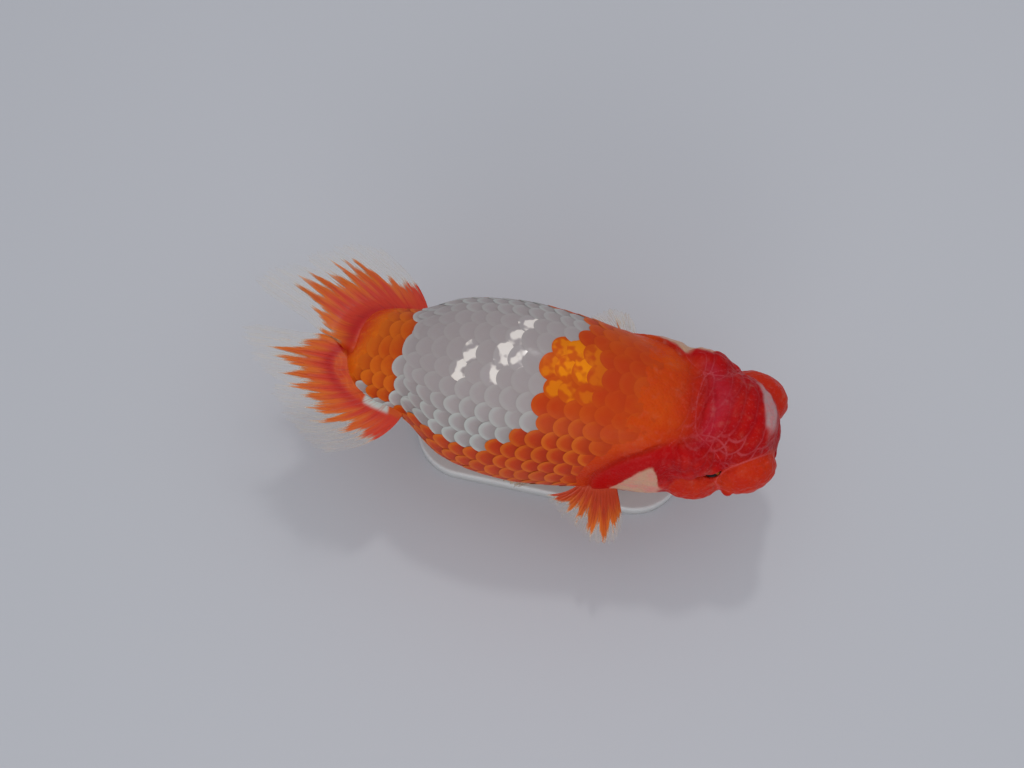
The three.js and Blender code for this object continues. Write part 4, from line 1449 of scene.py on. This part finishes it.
class GOLDFISH_OT_studio(bpy.types.Operator):
    """Sets out the plain floor, the soft lights and the camera"""

    bl_idname = "goldfish.studio"
    bl_label = "Studio"

    def execute(self, context):
        studio = context.scene.goldfish_studio
        corners = [(x * FLOOR_REACH, y * FLOOR_REACH, 0) for x, y in ((-1, -1), (1, -1), (1, 1), (-1, 1))]
        mesh = bpy.data.meshes.new("floor")
        mesh.from_pydata(corners, [], [(0, 1, 2, 3)])
        floor = bpy.data.objects.new("floor", mesh)
        context.scene.collection.objects.link(floor)
        floor_finish(studio).onto(floor)
        target = Vector((SNOUT_X - AIM, 0, AXIS_HEIGHT)) * MM
        for name, place, size in LAMPS:
            self.lamp(name, place, target, size, getattr(studio, f"{name}_power"))
        self.sky(context.scene)
        self.camera(context.scene, studio, target)
        return {"FINISHED"}

    def lamp(self, name, place, target, size, power):
        data = bpy.data.lights.new(name, "AREA")
        data.shape, data.size, data.energy = "DISK", size, power
        lamp = bpy.data.objects.new(name, data)
        bpy.context.scene.collection.objects.link(lamp)
        lamp.location = place
        lamp.rotation_euler = (target - Vector(place)).to_track_quat("-Z", "Y").to_euler()

    def sky(self, scene):
        scene.world = bpy.data.worlds.new("soft_room")
        scene.world.use_nodes = True
        background = scene.world.node_tree.nodes["Background"]
        background.inputs["Color"].default_value = (*tint(226, 230, 240), 1)
        background.inputs["Strength"].default_value = SKY_STRENGTH
        scene.view_settings.view_transform = "Standard"

    def camera(self, scene, studio, target):
        data = bpy.data.cameras.new("camera")
        data.lens, data.sensor_width = LENS, SENSOR_WIDTH
        data.clip_start = NEAREST_SEEN
        camera = bpy.data.objects.new("camera", data)
        scene.collection.objects.link(camera)
        a, e = studio.azimuth, studio.elevation
        back = Vector((math.sin(a) * math.cos(e), -math.cos(a) * math.cos(e), math.sin(e)))
        camera.location = target + back * studio.distance
        camera.rotation_euler = (-back).to_track_quat("-Z", "Y").to_euler()
        scene.camera = camera


def floor_finish(studio):
    """Plain matt floor, very softly clouded."""
    finish = Finish("studio_floor", {"Roughness": 0.85, "Specular IOR Level": 0.2})
    cloud = finish.grain(160)
    tinge = (cloud.ramp(0.3, 0.7, 0, 0.12), tint(200, 200, 206))
    finish.set(base_color=finish.layers(studio.floor, tinge))
    return finish


# ---- add-on


class GOLDFISH_PT_panel(bpy.types.Panel):
    """Lists the goldfish's pieces and the studio"""

    bl_idname = "GOLDFISH_PT_panel"
    bl_label = "Ranchu goldfish"
    bl_space_type = "VIEW_3D"
    bl_region_type = "UI"
    bl_category = "Goldfish"

    def draw(self, context):
        for operator in OPERATORS:
            self.layout.operator(operator.bl_idname)
        for name in SETTINGS:
            group = getattr(context.scene, name)
            box = self.layout.box()
            for prop in group.bl_rna.properties:
                if not prop.is_readonly and prop.identifier != "name":
                    box.prop(group, prop.identifier)


OPERATORS = (
    GOLDFISH_OT_skin, GOLDFISH_OT_scales, GOLDFISH_OT_fins, GOLDFISH_OT_eyes, GOLDFISH_OT_stand,
    GOLDFISH_OT_studio,
)
SETTINGS = {
    "goldfish_shape": GoldfishShape,
    "goldfish_colours": GoldfishColours,
    "goldfish_stand": GoldfishStand,
    "goldfish_studio": GoldfishStudio,
}


def register():
    for cls in (*SETTINGS.values(), *OPERATORS, GOLDFISH_PT_panel):
        bpy.utils.register_class(cls)
    for name, group in SETTINGS.items():
        setattr(bpy.types.Scene, name, PointerProperty(type=group))


def unregister():
    for name in SETTINGS:
        delattr(bpy.types.Scene, name)
    for cls in reversed((*SETTINGS.values(), *OPERATORS, GOLDFISH_PT_panel)):
        bpy.utils.unregister_class(cls)


def main():
    register()
    bpy.ops.goldfish.skin()
    bpy.ops.goldfish.scales()
    bpy.ops.goldfish.fins()
    bpy.ops.goldfish.eyes()
    bpy.ops.goldfish.stand()
    bpy.ops.goldfish.studio()


if __name__ == "__main__":
    main()
